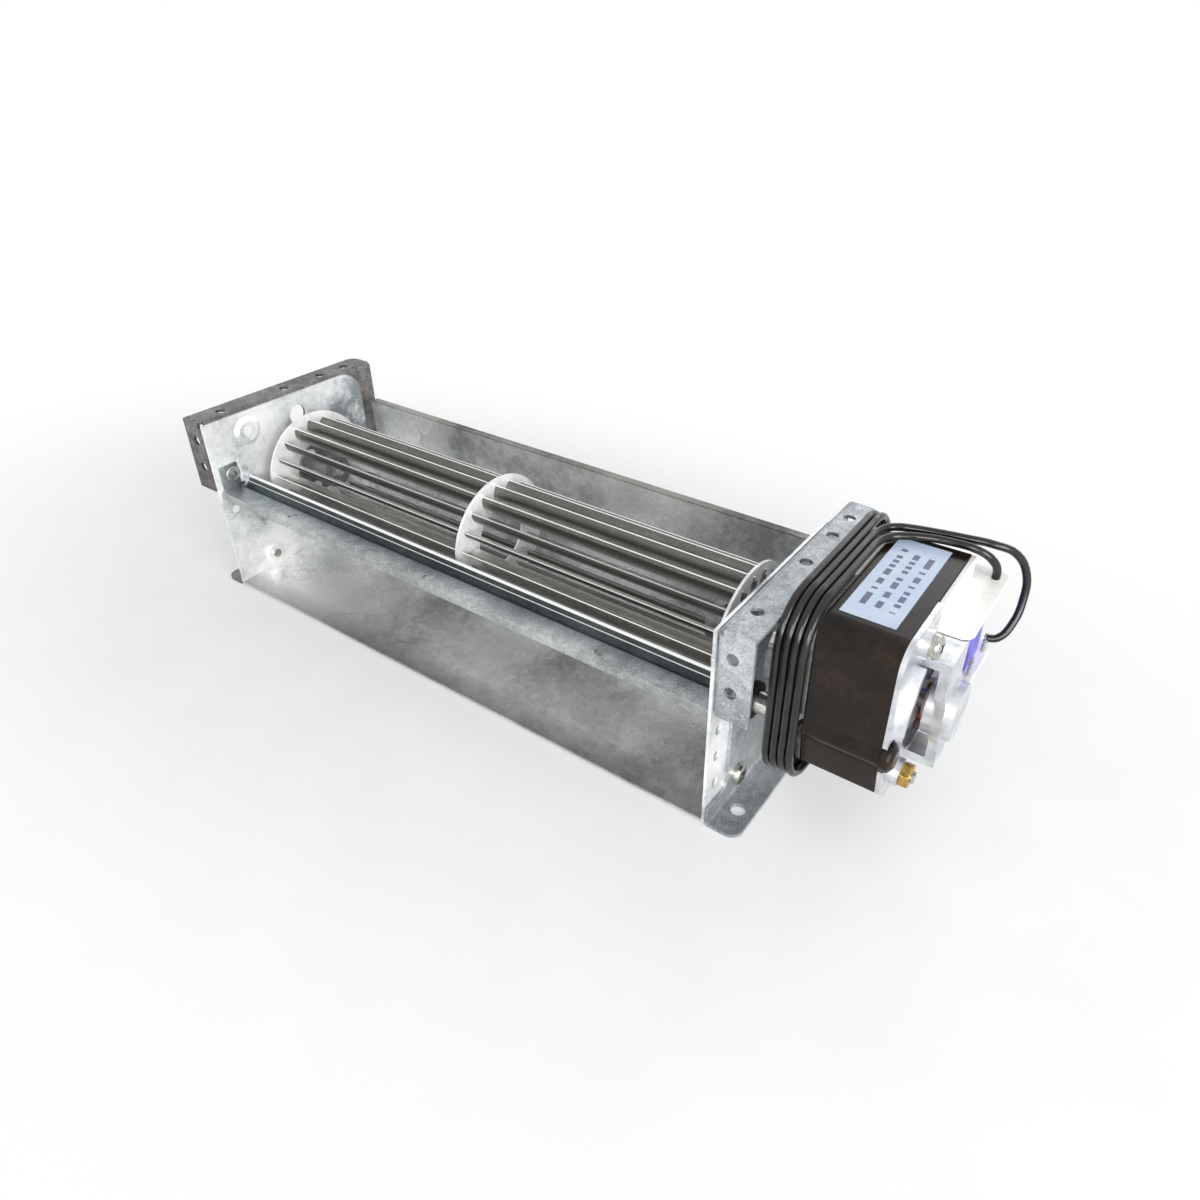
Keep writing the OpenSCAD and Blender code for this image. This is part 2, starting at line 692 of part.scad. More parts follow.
// Moulded bobbin pushed over the limb, with upstands against the stack ends
module coil_bobbin() color("#f2f1ec") at_axis() {
    g = seat_gap;
    t = bobbin_t;
    z0 = window_low + g;
    z1 = window_top - g;
    difference() {
        both_ends() {
            translate([0, 0, z0]) linear_extrude(t) flange_plan(lower_lobe_y);
            translate([0, 0, z1 - t]) linear_extrude(t) flange_plan(upper_lobe_y);
            translate([stack_mid, limb_y - g - t, z0])
                cube([stack_x1 + g + t - stack_mid, limb_w + 2 * (g + t), z1 - z0]);
            translate([stack_x1 + g, upper_lobe_y, z1 - t])
                cube([1.2, stack_back - 0.5 - upper_lobe_y, stack_top - 0.5 - z1 + t]);
        }
        translate([stack_x0 - g, limb_y - g, z0 - 1])
            cube([stack_l + 2 * g, limb_w + 2 * g, z1 - z0 + 2]);
        both_ends() for (y = [5, 12, 19]) translate([stack_x1 - 1, y, z1 + 2]) cube([4, 1, 3]);
    }
}

// Winding under its tape, as one body with the rounded outline of the coil
module coil_winding() color("#5b55b8") at_axis() {
    g = seat_gap + bobbin_t;
    z0 = window_low + g;
    translate([0, 0, z0]) linear_extrude(window_top - window_low - 2 * g) difference() {
        round_rect([stack_x0 - coil_out, window_y + 0.5],
            [stack_x1 + coil_out, stack_back + bobbin_back - 1.2], 5);
        translate([stack_x0 - g, limb_y - g]) square([stack_l + 2 * g, limb_w + 2 * g]);
    }
}

// Eyelet posts on the lower flange where the winding meets the leads
module coil_terminals() color("#a9aaa6") at_axis() for (y = terminal_y)
    translate([terminal_x, y, window_low + seat_gap + bobbin_t]) {
        cylinder(h = eyelet_rise - 1.2, d = 1);
        translate([0, 0, eyelet_rise]) rotate([0, 90, 0]) difference() {
            cylinder(h = 0.6, d = eyelet_d, center = true);
            cylinder(h = 2, d = eyelet_d - 1.9, center = true);
        }
    }

// Die-cast bearing bracket that stands on a stack face at x = 0, with its bearing cup closed or open
module motor_bracket(blind) {
    t = bridge_t;
    r = housing_d / 2;
    plate_y = 1.8;
    leg_y = 11.5;
    difference() {
        union() {
            along_x(0, foot_t) difference() {
                intersection() {
                    stack_outline();
                    union() {
                        translate([-stack_front, -leg_low - plate_y])
                            square([stack_front - plate_y, stack_top + leg_low + plate_y]);
                        translate([-plate_y, -leg_low - plate_y]) square([stack_back, 10.4]);
                    }
                }
                circle(d = bore_d + 6.2);
                translate([rod_y, rod_z]) circle(d = rod_d + 2);
            }
            along_x(0, bridge_h) {
                translate([-leg_y, leg_top - t]) square([leg_y + 1.2, t]);
                translate([-5.2, -leg_low]) square([8.2, t]);
            }
            along_x(bridge_h - t, bridge_h) {
                polygon([[-leg_y, leg_top], [1.2, leg_top], [1.2, 11], [r, 3], [r, -4], [3, -9],
                    [3, -leg_low], [-5.2, -leg_low], [-5.2, -8], [-r, -3], [-r, 5], [-leg_y, 11.5]]);
                circle(r);
            }
            rod_x(bridge_h + housing_out - bush_l, bridge_h + housing_out, housing_d);
            at_bolts() rod_x(0, post_h, post_d);
            along_x(0, skirt_l) intersection() {
                difference() {
                    circle(skirt_r, $fn = 96);
                    circle(skirt_r - skirt_t, $fn = 96);
                }
                sector(skirt_a);
            }
            if (blind) rod_x(bridge_h, bridge_h + housing_out + cup_end, housing_d);
        }
        rod_x(-1, bridge_h + housing_out + (blind ? 0 : 1), bush_d + 2 * fit_gap);
        at_bolts() rod_x(-1, post_h + 5, bolt_d + 2 * bolt_gap);
    }
}

// Slice of the plane between two angles, counted from straight up towards the front
module sector(a) polygon([[0, 0], [-40 * sin(a[0]), 40 * cos(a[0])], [-60 * sin(a[0] / 2 + a[1] / 2),
    60 * cos(a[0] / 2 + a[1] / 2)], [-40 * sin(a[1]), 40 * cos(a[1])]]);

module bracket_outer() color("#c3c6ca") at_axis() translate([stack_x1, 0, 0]) motor_bracket(true);

// The inner bracket has three tapped ears for the screws from the housing
module bracket_inner() color("#b7babe") at_axis() translate([stack_x0, 0, 0]) mirror([1, 0, 0])
    difference() {
        union() {
            motor_bracket(false);
            along_x(bridge_h - bridge_t, bridge_h) difference() {
                for (a = mount_a) rotate(a) {
                    translate([0, -3]) square([mount_r, 6]);
                    translate([mount_r, 0]) circle(d = ear_d);
                }
                circle(d = bush_d + 2 * fit_gap);
            }
        }
        for (a = mount_a) rod_x(0, bridge_h + 5, bolt_d + 2 * fit_gap, mount_r * cos(a), mount_r * sin(a));
        along_x(-1, foot_t + 1) difference() {
            translate([-50, -50]) square(100);
            neck_outline(-touch);
        }
    }

module bush_outer() color("#b08d57") at_axis() bush(stack_x1 + bridge_h + housing_out - bush_l / 2);
module bush_inner() color("#b08d57") at_axis() bush(stack_x0 - bridge_h - housing_out + bush_l / 2);

// Screws through both brackets and the stack, the second one from the left
module stack_screws() color("#c2bfb2") at_axis() {
    l = stack_l + 2 * post_h + nut_h + 0.8;
    at_bolts([0, 2]) translate([stack_x1 + post_h, 0, 0]) pan_screw(bolt_d, l, 6, 2.2);
    at_bolts([1]) translate([stack_x0 - post_h, 0, 0]) mirror([1, 0, 0]) pan_screw(bolt_d, l, 6, 2.2);
}

module stack_nuts() color("#b9964a") at_axis() {
    at_bolts([0, 2]) translate([stack_x0 - post_h - nut_h, 0, 0]) hex_nut(5.5, nut_h, bolt_d + 2 * fit_gap);
    at_bolts([1]) translate([stack_x1 + post_h, 0, 0]) hex_nut(5.5, nut_h, bolt_d + 2 * fit_gap);
}

module at_mounts() for (a = mount_a) translate([0, mount_r * cos(a), mount_r * sin(a)]) children();

// Rubber grommets in the right cheek and bracket
module motor_grommets() color("#2f2f31") at_axis() at_mounts() difference() {
    union() {
        rod_x(wall_x - lip_t, outer_x + lip_t, mount_d - 2 * fit_gap);
        rod_x(wall_x - lip_t, wall_x, mount_d + 2 * lip_w);
        rod_x(outer_x, outer_x + lip_t, mount_d + 2 * lip_w);
    }
    rod_x(wall_x - 5, outer_x + 5, bolt_d + 2 * fit_gap);
}

// Sleeves that keep the motor clear of the housing
module motor_spacers() color("#aab0b5") at_axis() at_mounts() difference() {
    rod_x(outer_x + lip_t, stack_x0 - bridge_h, 6);
    rod_x(outer_x, stack_x0, bolt_d + 2 * fit_gap);
}

// Screws from inside the housing through grommet and sleeve into the ears
module motor_screws() color("#b9bcc0") at_axis() at_mounts()
    translate([wall_x - lip_t, 0, 0]) mirror([1, 0, 0])
        pan_screw(bolt_d, stack_x0 - bridge_h + bridge_t - wall_x + lip_t, 6, 2);

module rotor_core() color("#6d6f73") at_axis() difference() {
    rod_x(stack_x0, stack_x1, 2 * rotor_core_r);
    rod_x(stack_x0 - 1, stack_x1 + 1, shaft_d + 2 * fit_gap);
}

module motor_shaft() color("#a3a7ab") at_axis()
    rod_x(disc_x - disc_t - hub_t - boss_l + 1, stack_x1 + bridge_h + housing_out - touch, shaft_d);

// Washers on the shaft between the rotor core and the bushes
module shaft_washers() color("#e8e6df") at_axis() {
    gap = bridge_h + housing_out - bush_l - touch;
    washer_x(stack_x1 + gap - washer_t, washer_d, washer_t);
    washer_x(stack_x0 - gap, washer_d, washer_t);
}

// Leads

// Inner outline of the turns round the neck, grown by a radial amount
module neck_outline(grow) {
    y0 = -stack_front - 0.5 - grow;
    y1 = turns_y1 + grow;
    z0 = 1 - stack_low - grow;
    z1 = turns_z1 + grow;
    round_rect([0, z0], [y1, z1], turns_r1 + grow);
    round_rect([y0, z0], [turns_y1 - turns_r1, z1], turns_r0 + grow);
}

// The wound turns as one closed ring of their outer shape
module lead_coil() color("#17181a") at_axis() along_x(turns_x0, turns_x1) difference() {
    neck_outline(turns_t);
    neck_outline(0);
}

function spline(p, i, t) =
    let(n = len(p) - 1, a = p[max(i - 1, 0)], b = p[i], c = p[i + 1], d = p[min(i + 2, n)])
    0.5 * (2 * b + (c - a) * t + (2 * a - 5 * b + 4 * c - d) * t * t + (3 * b - a - 3 * c + d) * t * t * t);
function smooth_path(p, steps) =
    concat([for (i = [0 : len(p) - 2], k = [0 : steps - 1]) spline(p, i, k / steps)], [p[len(p) - 1]]);
function unit(v) = v / norm(v);

// Tube swept along a list of points, with its two ends square to given directions
module tube(route, d, dir0, dir1) {
    path = smooth_path(route, 2);
    n = len(path);
    dirs = [for (i = [0 : n - 1]) i == 0 ? dir0 : i == n - 1 ? dir1 : unit(path[i + 1] - path[i - 1])];
    sides = 8;
    points = [for (i = [0 : n - 1], k = [0 : sides - 1])
        let(u = unit(cross(dirs[i], [0.2, -1, 0.3])), v = cross(dirs[i], u), a = k * 360 / sides)
        path[i] + (u * cos(a) + v * sin(a)) * d / 2];
    walls = [for (i = [0 : n - 2], k = [0 : sides - 1]) let(m = (k + 1) % sides)
        [i * sides + k, i * sides + m, (i + 1) * sides + m, (i + 1) * sides + k]];
    ends = [[for (k = [sides - 1 : -1 : 0]) k], [for (k = [0 : sides - 1]) (n - 1) * sides + k]];
    polyhedron(points, concat(ends, walls));
}

module lead_a() color("#17181a") at_axis() tube(route_a, lead_d, [1, 0, 0], [-1, 0, 0]);
module lead_b() color("#17181a") at_axis() tube(route_b, lead_d, [0, 0, 1], [-1, 0, 0]);
module lead_tails() color("#17181a") at_axis() for (route = [tail_a, tail_b])
    tube(route, lead_d, [-1, 0, 0], [0, 0, -1]);

// Tinned strands at the ends of the two leads
module lead_ends() color("#c8c5bd") at_axis() for (p = [tail_a[4], tail_b[4]])
    translate(p - [0, 0, bare_l]) cylinder(h = bare_l, d = bare_d);

right_bracket();
left_bracket();
right_cheek();
left_cheek();
scroll();
vortex_wall();
ledge_rivets();
side_screws();
impeller_blades();
disc_left();
disc_middle();
disc_right();
hub_left();
hub_right();
hub_rivets();
set_screw();
stub_shaft();
bearing_grommet();
bearing_bush();
thrust_washer();
stator_stack();
shading_rings();
stack_rod();
rating_label();
coil_bobbin();
coil_winding();
coil_terminals();
bracket_outer();
bracket_inner();
bush_outer();
bush_inner();
stack_screws();
stack_nuts();
motor_grommets();
motor_spacers();
motor_screws();
rotor_core();
motor_shaft();
shaft_washers();
lead_coil();
lead_a();
lead_b();
lead_tails();
lead_ends();
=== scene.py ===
# %% [markdown]
# A tangential blower from an oven, dressed for a photograph
#
# The object is a long aluminium fan wheel in a housing of galvanised sheet,
# with a small shaded-pole motor on its right end and two black leads wound
# round the neck of the motor. The CAD frame already has every solid at its
# size and place, so this lesson adds what CAD leaves out: worn metal, paint,
# moulded plastic, rounded edges, proper screw heads and leads that lie as
# leads do.

# %% Load the frame
import json
import math

import bpy
from mathutils import Matrix, Vector

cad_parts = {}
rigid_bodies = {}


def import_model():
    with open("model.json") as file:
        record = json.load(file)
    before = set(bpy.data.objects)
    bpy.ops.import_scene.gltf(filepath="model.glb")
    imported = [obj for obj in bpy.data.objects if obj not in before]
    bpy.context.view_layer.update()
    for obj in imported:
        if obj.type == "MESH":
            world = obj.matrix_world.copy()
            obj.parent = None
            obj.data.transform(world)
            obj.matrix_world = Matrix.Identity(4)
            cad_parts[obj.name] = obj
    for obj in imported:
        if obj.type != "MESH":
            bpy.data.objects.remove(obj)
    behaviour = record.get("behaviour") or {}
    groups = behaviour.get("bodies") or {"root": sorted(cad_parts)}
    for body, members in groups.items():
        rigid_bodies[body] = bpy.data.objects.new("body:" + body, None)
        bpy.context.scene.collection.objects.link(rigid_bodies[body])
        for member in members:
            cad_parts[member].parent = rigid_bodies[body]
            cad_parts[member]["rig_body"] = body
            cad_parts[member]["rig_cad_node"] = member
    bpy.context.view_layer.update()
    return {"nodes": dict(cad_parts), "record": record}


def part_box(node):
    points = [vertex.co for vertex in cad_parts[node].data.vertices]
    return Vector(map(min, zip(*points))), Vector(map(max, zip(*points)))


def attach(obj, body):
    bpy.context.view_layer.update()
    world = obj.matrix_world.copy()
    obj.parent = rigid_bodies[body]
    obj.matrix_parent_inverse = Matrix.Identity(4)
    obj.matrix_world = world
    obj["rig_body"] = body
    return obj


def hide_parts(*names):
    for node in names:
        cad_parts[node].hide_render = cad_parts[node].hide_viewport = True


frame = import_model()
NODES = frame["nodes"]

# %% [markdown]
# Lengths on the drawing are in millimetres from the axis of the fan wheel,
# which lies 37 mm above the base, and Blender works in metres from the base.
# One small function does that change, so that every number below can be
# checked against the real blower with a calliper.

# %% Millimetres from the axis
MM = 0.001
AXIS_H = 37.0


def at(x, y, z):
    return Vector((x, y, z + AXIS_H)) * MM


# %% [markdown]
# The camera stands in front of the motor, to the right and above, and looks
# along the blower to the left. Its place was found by fitting a perspective
# camera to the corners of the housing, and the three direction vectors are
# the columns of its rotation. The small shift puts the blower where it sits
# in the frame.

# %% Camera
camera_data = bpy.data.cameras.new("camera")
camera = bpy.data.objects.new("camera", camera_data)
bpy.context.scene.collection.objects.link(camera)
right = Vector((0.8179, 0.5754, -0.0025)).normalized()
down = Vector((0.3057, -0.4381, -0.8453)).normalized()
back = right.cross(-down).normalized()
turned = Matrix((right, -down, back)).transposed().to_4x4()
camera.matrix_world = Matrix.Translation(at(170.9, -175.9, 143.1)) @ turned
camera_data.sensor_width = 36.0
camera_data.lens = 26.589
camera_data.shift_x = -0.0177
camera_data.shift_y = -0.0323
camera_data.clip_start = 0.01
bpy.context.scene.camera = camera
print("camera at", [round(v, 4) for v in camera.location])

# %% [markdown]
# The two leads are plain stranded wires in black PVC, 2.1 mm thick. Each one
# leaves the coil, runs along the back edge of the motor, and is wound almost
# twice round the neck so that it doesn't dangle in the box; its bare end
# hangs behind the right bracket. A lead is a curve with a round bevel,
# because that keeps it one fixed length with the same thickness all along.
# The turns follow a rounded rectangle, so a function first walks round it.

# %% The line round the neck
LEAD_D = 2.1
FRONT_Y, BACK_Y, LOW_Z, HIGH_Z = -26.55, 32.75, -21.35, 30.65
FRONT_R, BACK_R = 11.35, 9.35
NECK = [
    ("line", (BACK_Y - BACK_R, HIGH_Z), (FRONT_Y + FRONT_R, HIGH_Z)),
    ("arc", (FRONT_Y + FRONT_R, HIGH_Z - FRONT_R), FRONT_R, 90),
    ("line", (FRONT_Y, HIGH_Z - FRONT_R), (FRONT_Y, LOW_Z + FRONT_R)),
    ("arc", (FRONT_Y + FRONT_R, LOW_Z + FRONT_R), FRONT_R, 180),
    ("line", (FRONT_Y + FRONT_R, LOW_Z), (BACK_Y - BACK_R, LOW_Z)),
    ("arc", (BACK_Y - BACK_R, LOW_Z + BACK_R), BACK_R, 270),
    ("line", (BACK_Y, LOW_Z + BACK_R), (BACK_Y, HIGH_Z - BACK_R)),
    ("arc", (BACK_Y - BACK_R, HIGH_Z - BACK_R), BACK_R, 0),
]


def stretch_length(stretch):
    if stretch[0] == "line":
        return math.dist(stretch[1], stretch[2])
    return stretch[2] * math.pi / 2


def round_the_neck(travel):
    """Place in Y and Z after travelling so many millimetres along one turn and more."""
    rest = travel % NECK_LENGTH
    for stretch in NECK:
        long = stretch_length(stretch)
        if rest <= long:
            break
        rest -= long
    share = min(1.0, rest / long)
    if stretch[0] == "line":
        (y0, z0), (y1, z1) = stretch[1:]
        return y0 + (y1 - y0) * share, z0 + (z1 - z0) * share
    (y, z), radius, first = stretch[1:]
    angle = math.radians(first + 90 * share)
    return y + radius * math.cos(angle), z + radius * math.sin(angle)


NECK_LENGTH = sum(stretch_length(stretch) for stretch in NECK)
print("one turn is", round(NECK_LENGTH, 1), "mm")

# %% [markdown]
# On the first turn the leads lie next to the stack, side by side. Behind the
# motor they move over by two lead diameters and lie beside themselves for
# the second turn. A smooth step does the moving, and a slow ripple of a
# twentieth of a millimetre keeps the turns from looking machined. Each lead
# joins the line a little way along the top and leaves it well past one turn.

# %% Turns and full routes
TURN_STEP = 2 * LEAD_D
MOVE_START, MOVE_END = 160.0, 200.0
POINT_STEP = 5.0
RIPPLE, RIPPLE_RUN, RIPPLE_START = 0.05, 17.0, 0.3
A_FIRST_X, A_JOINS, A_LEAVES = 112.6, 10.0, NECK_LENGTH + 150.0
B_FIRST_X, B_JOINS, B_LEAVES = 114.7, 16.0, NECK_LENGTH + 156.0


def turns(first_x, start, end):
    """Points of one lead round the neck, between two travelled lengths."""
    points = []
    count = int((end - start) / POINT_STEP)
    for i in range(count + 1):
        travel = start + (end - start) * i / count
        y, z = round_the_neck(travel)
        share = min(1.0, max(0.0, (travel - MOVE_START) / (MOVE_END - MOVE_START)))
        x = first_x - TURN_STEP * share * share * (3 - 2 * share)
        points.append((x + RIPPLE * math.sin(travel / RIPPLE_RUN + RIPPLE_START), y, z))
    return points


route_a = [(142.9, 26, 5.0), (145.2, 26.8, 5.6), (147.2, 29.5, 9), (147.8, 32.5, 15.5), (146.8, 33.6, 22),
           (143.6, 32.2, 27.4), (138.6, 29, 30), (132, 27, 30.6), (125, 25.6, 30.6), (119, 24, 30.6),
           (116.4, 22.8, 30.65), (114.2, 20.9, 30.65), (113.0, 18.0, 30.65)]
route_a += turns(A_FIRST_X, A_JOINS, A_LEAVES)
route_a += [(107.4, 32.75, -13.6), (105.8, 32.9, -12.0), (103.9, 33, -11.6), (101.7, 33, -12.6),
            (100.4, 33, -14.8), (100, 33, -18), (100, 33, -24)]

route_b = [(141, 27, 22.3), (141, 26.8, 24.4), (139.8, 25.6, 27.4), (136, 23.8, 30.2), (130, 23, 30.7),
           (124, 21.6, 30.7), (119, 19.2, 30.7), (117, 17.6, 30.65), (115.5, 15.2, 30.65),
           (114.8, 12.2, 30.65)]
route_b += turns(B_FIRST_X, B_JOINS, B_LEAVES)
route_b += [(110.0, 32.75, -9.4), (108.6, 32.75, -6.6), (106.6, 32.7, -4.9), (104.2, 32.0, -4.3),
            (102.0, 31.0, -5.3), (100.6, 30.1, -7.8), (100.2, 29.7, -11.5), (100.2, 29.6, -17)]


def line_length(points):
    return sum(math.dist(a, b) for a, b in zip(points, points[1:]))


print("lead lengths", round(line_length(route_a)), "and", round(line_length(route_b)), "mm")

# %% [markdown]
# Both routes become curve objects. Smooth automatic handles on a Bezier spline give a line without kinks. A
# round bevel of one metre, times the radius of each point, gives the thickness of the insulation, because
# Blender adds the radius of the points to the box that it reports for a curve. The leads keep their real
# length, and they stand for the plain tubes of the frame, which stay hidden.

# %% Lead curves


def lead_curve(name, points, *stands_for, with_pieces=()):
    data = bpy.data.curves.new(name, "CURVE")
    data.dimensions = "3D"
    data.bevel_depth = 1.0
    data.bevel_resolution = 3
    data.resolution_u = 4
    data.use_fill_caps = True
    spline = data.splines.new("BEZIER")
    spline.bezier_points.add(len(points) - 1)
    for knot, point in zip(spline.bezier_points, points):
        knot.co = at(*point)
        knot.radius = LEAD_D / 2 * MM
        knot.handle_left_type = "AUTO"
        knot.handle_right_type = "AUTO"
    lead = bpy.data.objects.new(name, data)
    bpy.context.scene.collection.objects.link(lead)
    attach(lead, "housing")
    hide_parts(*stands_for)
    return lead


lead_from_terminal = lead_curve("lead_from_terminal", route_a, "lead_a", "lead_coil", "lead_tails",
                                with_pieces=[NODES["lead_ends"]])
lead_from_coil = lead_curve("lead_from_coil", route_b, "lead_b")

# %% [markdown]
# Every finish below is a small graph of nodes. To keep the graphs readable,
# colours are written as the hex values a paint chart gives and turned to
# linear light by one function, and pattern scales are written as the size of
# one grain, cloud or cell in millimetres. One other function adds a node with
# its settings and links: an input may be a value, a node, or one output of it.

# %% Colour and node helpers


def hexa(code):
    """Linear RGBA of an sRGB hex colour."""
    channels = [int(code[i : i + 2], 16) / 255 for i in (1, 3, 5)]
    linear = [c / 12.92 if c <= 0.04045 else ((c + 0.055) / 1.055) ** 2.4 for c in channels]
    return (*linear, 1.0)


def per(size):
    """The scale at which one grain or cell of a pattern is so many millimetres across."""
    return 1.0 / (size * MM)


def link(owner, source, socket):
    if isinstance(source, bpy.types.Node):
        source = source.outputs[0]
    owner.node_tree.links.new(source, socket)


def node(owner, kind, settings=None, **inputs):
    """Adds a node to a material or world; inputs go by name, or by number as i0, i1 and so on."""
    new = owner.node_tree.nodes.new("ShaderNode" + kind)
    for key, value in (settings or {}).items():
        if key == "stops":
            elements = new.color_ramp.elements
            while len(elements) < len(value):
                elements.new(0.5)
            for element, (position, code) in zip(elements, value):
                element.position = position
                element.color = hexa(code)
        else:
            setattr(new, key, value)
    for key, value in inputs.items():
        by_number = key[0] == "i" and key[1:].isdigit()
        socket = new.inputs[int(key[1:])] if by_number else new.inputs[key.replace("_", " ")]
        if isinstance(value, (bpy.types.Node, bpy.types.NodeSocket)):
            link(owner, value, socket)
        else:
            socket.default_value = value
    return new


def finish(name, **settings):
    """A new material, its surface shader with the plain settings made, and its object coordinates."""
    material = bpy.data.materials.new(name)
    material.use_nodes = True
    shader = material.node_tree.nodes["Principled BSDF"]
    for key, value in settings.items():
        shader.inputs[key.replace("_", " ")].default_value = value
    place = node(material, "TexCoord").outputs["Object"]
    return material, shader.inputs, place


# %% [markdown]
# Hot-dip galvanised steel. Molten zinc freezes on the sheet in flat crystals, the spangle, each of which
# reflects the light at its own angle. On thin sheet they are small: a Voronoi pattern gives cells of 2 mm
# with a grey and a gloss of their own. Over them lie soft clouds of 30 mm, where the zinc has dulled with
# age, and bright specks of half a millimetre, where handling has rubbed it clean. The large sheet of the
# duct is smoother, with broader and stronger clouds and fewer specks; there the clouds are partly painted
# light, and their shift puts one bright cloud on the duct floor as a painted pool of light. The grey oxide
# skin scatters a part of the light like paint does, so the shader is not fully metallic. Clouds, crystals
# and specks add up to one tone, which drives the grey and the gloss.

# %% Galvanised sheet
SPANGLE, CELL_WOBBLE, CELL_BEND, CELL_WEIGHT = 2.0, 1.4, 0.0012, 0.12
SPECK, MEAN_TONE, CLOUD_LIFT = 0.5, 0.495, 2.5
DULL, MIDDLE, RUBBED = 0.32, 0.52, 0.76


def galvanised_sheet(name, greys, gloss, metal, cloud=30.0, cloudy=0.8, gritty=0.75, shift=0.0):
    """Greys run from dull to worn bright, the gloss from worn bright to dull; the clouds have a size and a
    shift.
    """
    material, shader, place = finish(name, Metallic=metal)
    moved = node(material, "Mapping", Vector=place, Location=(0, 0, shift))
    clouds = node(material, "TexNoise", Vector=moved, Scale=per(cloud), Detail=5.0, Roughness=0.55)
    wobble = node(material, "TexNoise", Vector=place, Scale=per(CELL_WOBBLE), Detail=2.0).outputs["Color"]
    bent = node(material, "Mix", {"data_type": "VECTOR"}, i0=CELL_BEND, i4=place, i5=wobble).outputs[1]
    crystals = node(material, "TexVoronoi", Vector=bent, Scale=per(SPANGLE)).outputs["Color"]
    own_grey = node(material, "SeparateColor", Color=crystals)
    grit = node(material, "TexNoise", Vector=place, Scale=per(SPECK), Detail=3.0, Roughness=0.75)
    level = MEAN_TONE - (cloudy + gritty) / 2
    tone = node(material, "Math", {"operation": "MULTIPLY_ADD"}, i0=clouds, i1=cloudy, i2=level)
    tone = node(material, "Math", {"operation": "MULTIPLY_ADD"}, i0=own_grey, i1=CELL_WEIGHT, i2=tone)
    tone = node(material, "Math", {"operation": "MULTIPLY_ADD"}, i0=grit, i1=gritty, i2=tone)
    stops = tuple(zip((DULL, MIDDLE, RUBBED), greys))
    link(material, node(material, "ValToRGB", {"stops": stops}, Fac=tone), shader["Base Color"])
    rough = node(material, "MapRange", Value=tone, i1=0.3, i2=0.75, i3=gloss[1], i4=gloss[0])
    link(material, rough, shader["Roughness"])
    relief = node(material, "Math", {"operation": "MULTIPLY_ADD"}, i0=clouds, i1=CLOUD_LIFT, i2=grit)
    link(material, node(material, "Bump", Height=relief, Strength=0.16, Distance=0.5 * MM),
         shader["Normal"])
    return material


bracket_zinc = galvanised_sheet("galvanised_steel_brackets", ("#6f7478", "#9ba0a4", "#ccd0d2"),
                                (0.28, 0.46), 0.5)
# Painted shade: the left bracket gets a darker copy of the bracket zinc for the shade that its outer faces
# lie in.
shaded_zinc = galvanised_sheet("galvanised_steel_painted_shade", ("#4a4846", "#6b6967", "#9a9896"),
                             (0.3, 0.5), 0.8)
# Partly painted light: the cheeks get a lighter copy of the sheet for the light that their inner faces
# catch from the motor's side.
cheek_zinc = galvanised_sheet("galvanised_steel_cheeks", ("#8d9296", "#dcdfe1", "#ffffff"),
                              (0.28, 0.5), 0.5, cloud=20.0, cloudy=1.6, gritty=0.5)
# Partly painted light: the strong duct clouds, shifted by 0.54, put a painted pool of light on the duct
# floor.
duct_zinc = galvanised_sheet("galvanised_steel_duct", ("#9a9d9c", "#d2d5d4", "#ffffff"),
                             (0.26, 0.5), 0.65, cloud=46.0, cloudy=1.6, gritty=0.4, shift=0.54)
ledge_zinc = galvanised_sheet("galvanised_steel_ledge", ("#7d8283", "#a6abac", "#d0d4d4"),
                              (0.28, 0.46), 0.8)

# %% [markdown]
# On the ledge, light and shade are painted into a tint. The top of the ledge is darker towards the back,
# and behind the ledge the sheet dips into a groove that is painted dark, a painted shade for the shadow in
# the bend. It rises again to the tongue beside the fan wheel, which carries painted highlights along a
# crease and along its tip. Coordinates drive all of this, and one function lays such a tint over a sheet.

# %% Painted shade and highlights on the ledge
GROOVE_Z, TONGUE_Z, LEDGE_FRONT, LEDGE_END = -1.6, 2.4, -33.5, -26.9


def tinted(material, tint):
    """Multiplies the base colour of a sheet by a tint."""
    shader = material.node_tree.nodes["Principled BSDF"].inputs
    untinted = shader["Base Color"].links[0].from_socket
    tinted_colour = node(material, "Mix", {"data_type": "RGBA", "blend_type": "MULTIPLY"},
                  i0=1.0, i6=untinted, i7=tint).outputs[2]
    link(material, tinted_colour, shader["Base Color"])
    return tinted_colour, shader


def coordinates(material):
    place = node(material, "TexCoord").outputs["Object"]
    return node(material, "SeparateXYZ", Vector=place).outputs


axes = coordinates(ledge_zinc)
rise = node(ledge_zinc, "MapRange", Value=axes[2], i1=at(0, 0, GROOVE_Z).z, i2=at(0, 0, TONGUE_Z).z)
inward = node(ledge_zinc, "MapRange", Value=axes[1], i1=LEDGE_FRONT * MM, i2=LEDGE_END * MM)
behind = node(ledge_zinc, "Math", {"operation": "GREATER_THAN"}, i0=axes[1], i1=LEDGE_END * MM)
# The top of the ledge is darker towards the back; the groove behind it is painted shade.
on_top = node(ledge_zinc, "ValToRGB", Fac=inward, settings={
    "stops": ((0.1, "#ffffff"), (0.5, "#d6dadb"), (1.0, "#8f9698"))})
in_groove = node(ledge_zinc, "ValToRGB", Fac=rise, settings={
    "stops": ((0.0, "#727a7b"), (0.6, "#5c6465"), (1.0, "#6a7273"))})
painted_shade = node(ledge_zinc, "Mix", {"data_type": "RGBA"}, i0=behind, i6=on_top, i7=in_groove).outputs[2]
tinted_colour, shader = tinted(ledge_zinc, painted_shade)
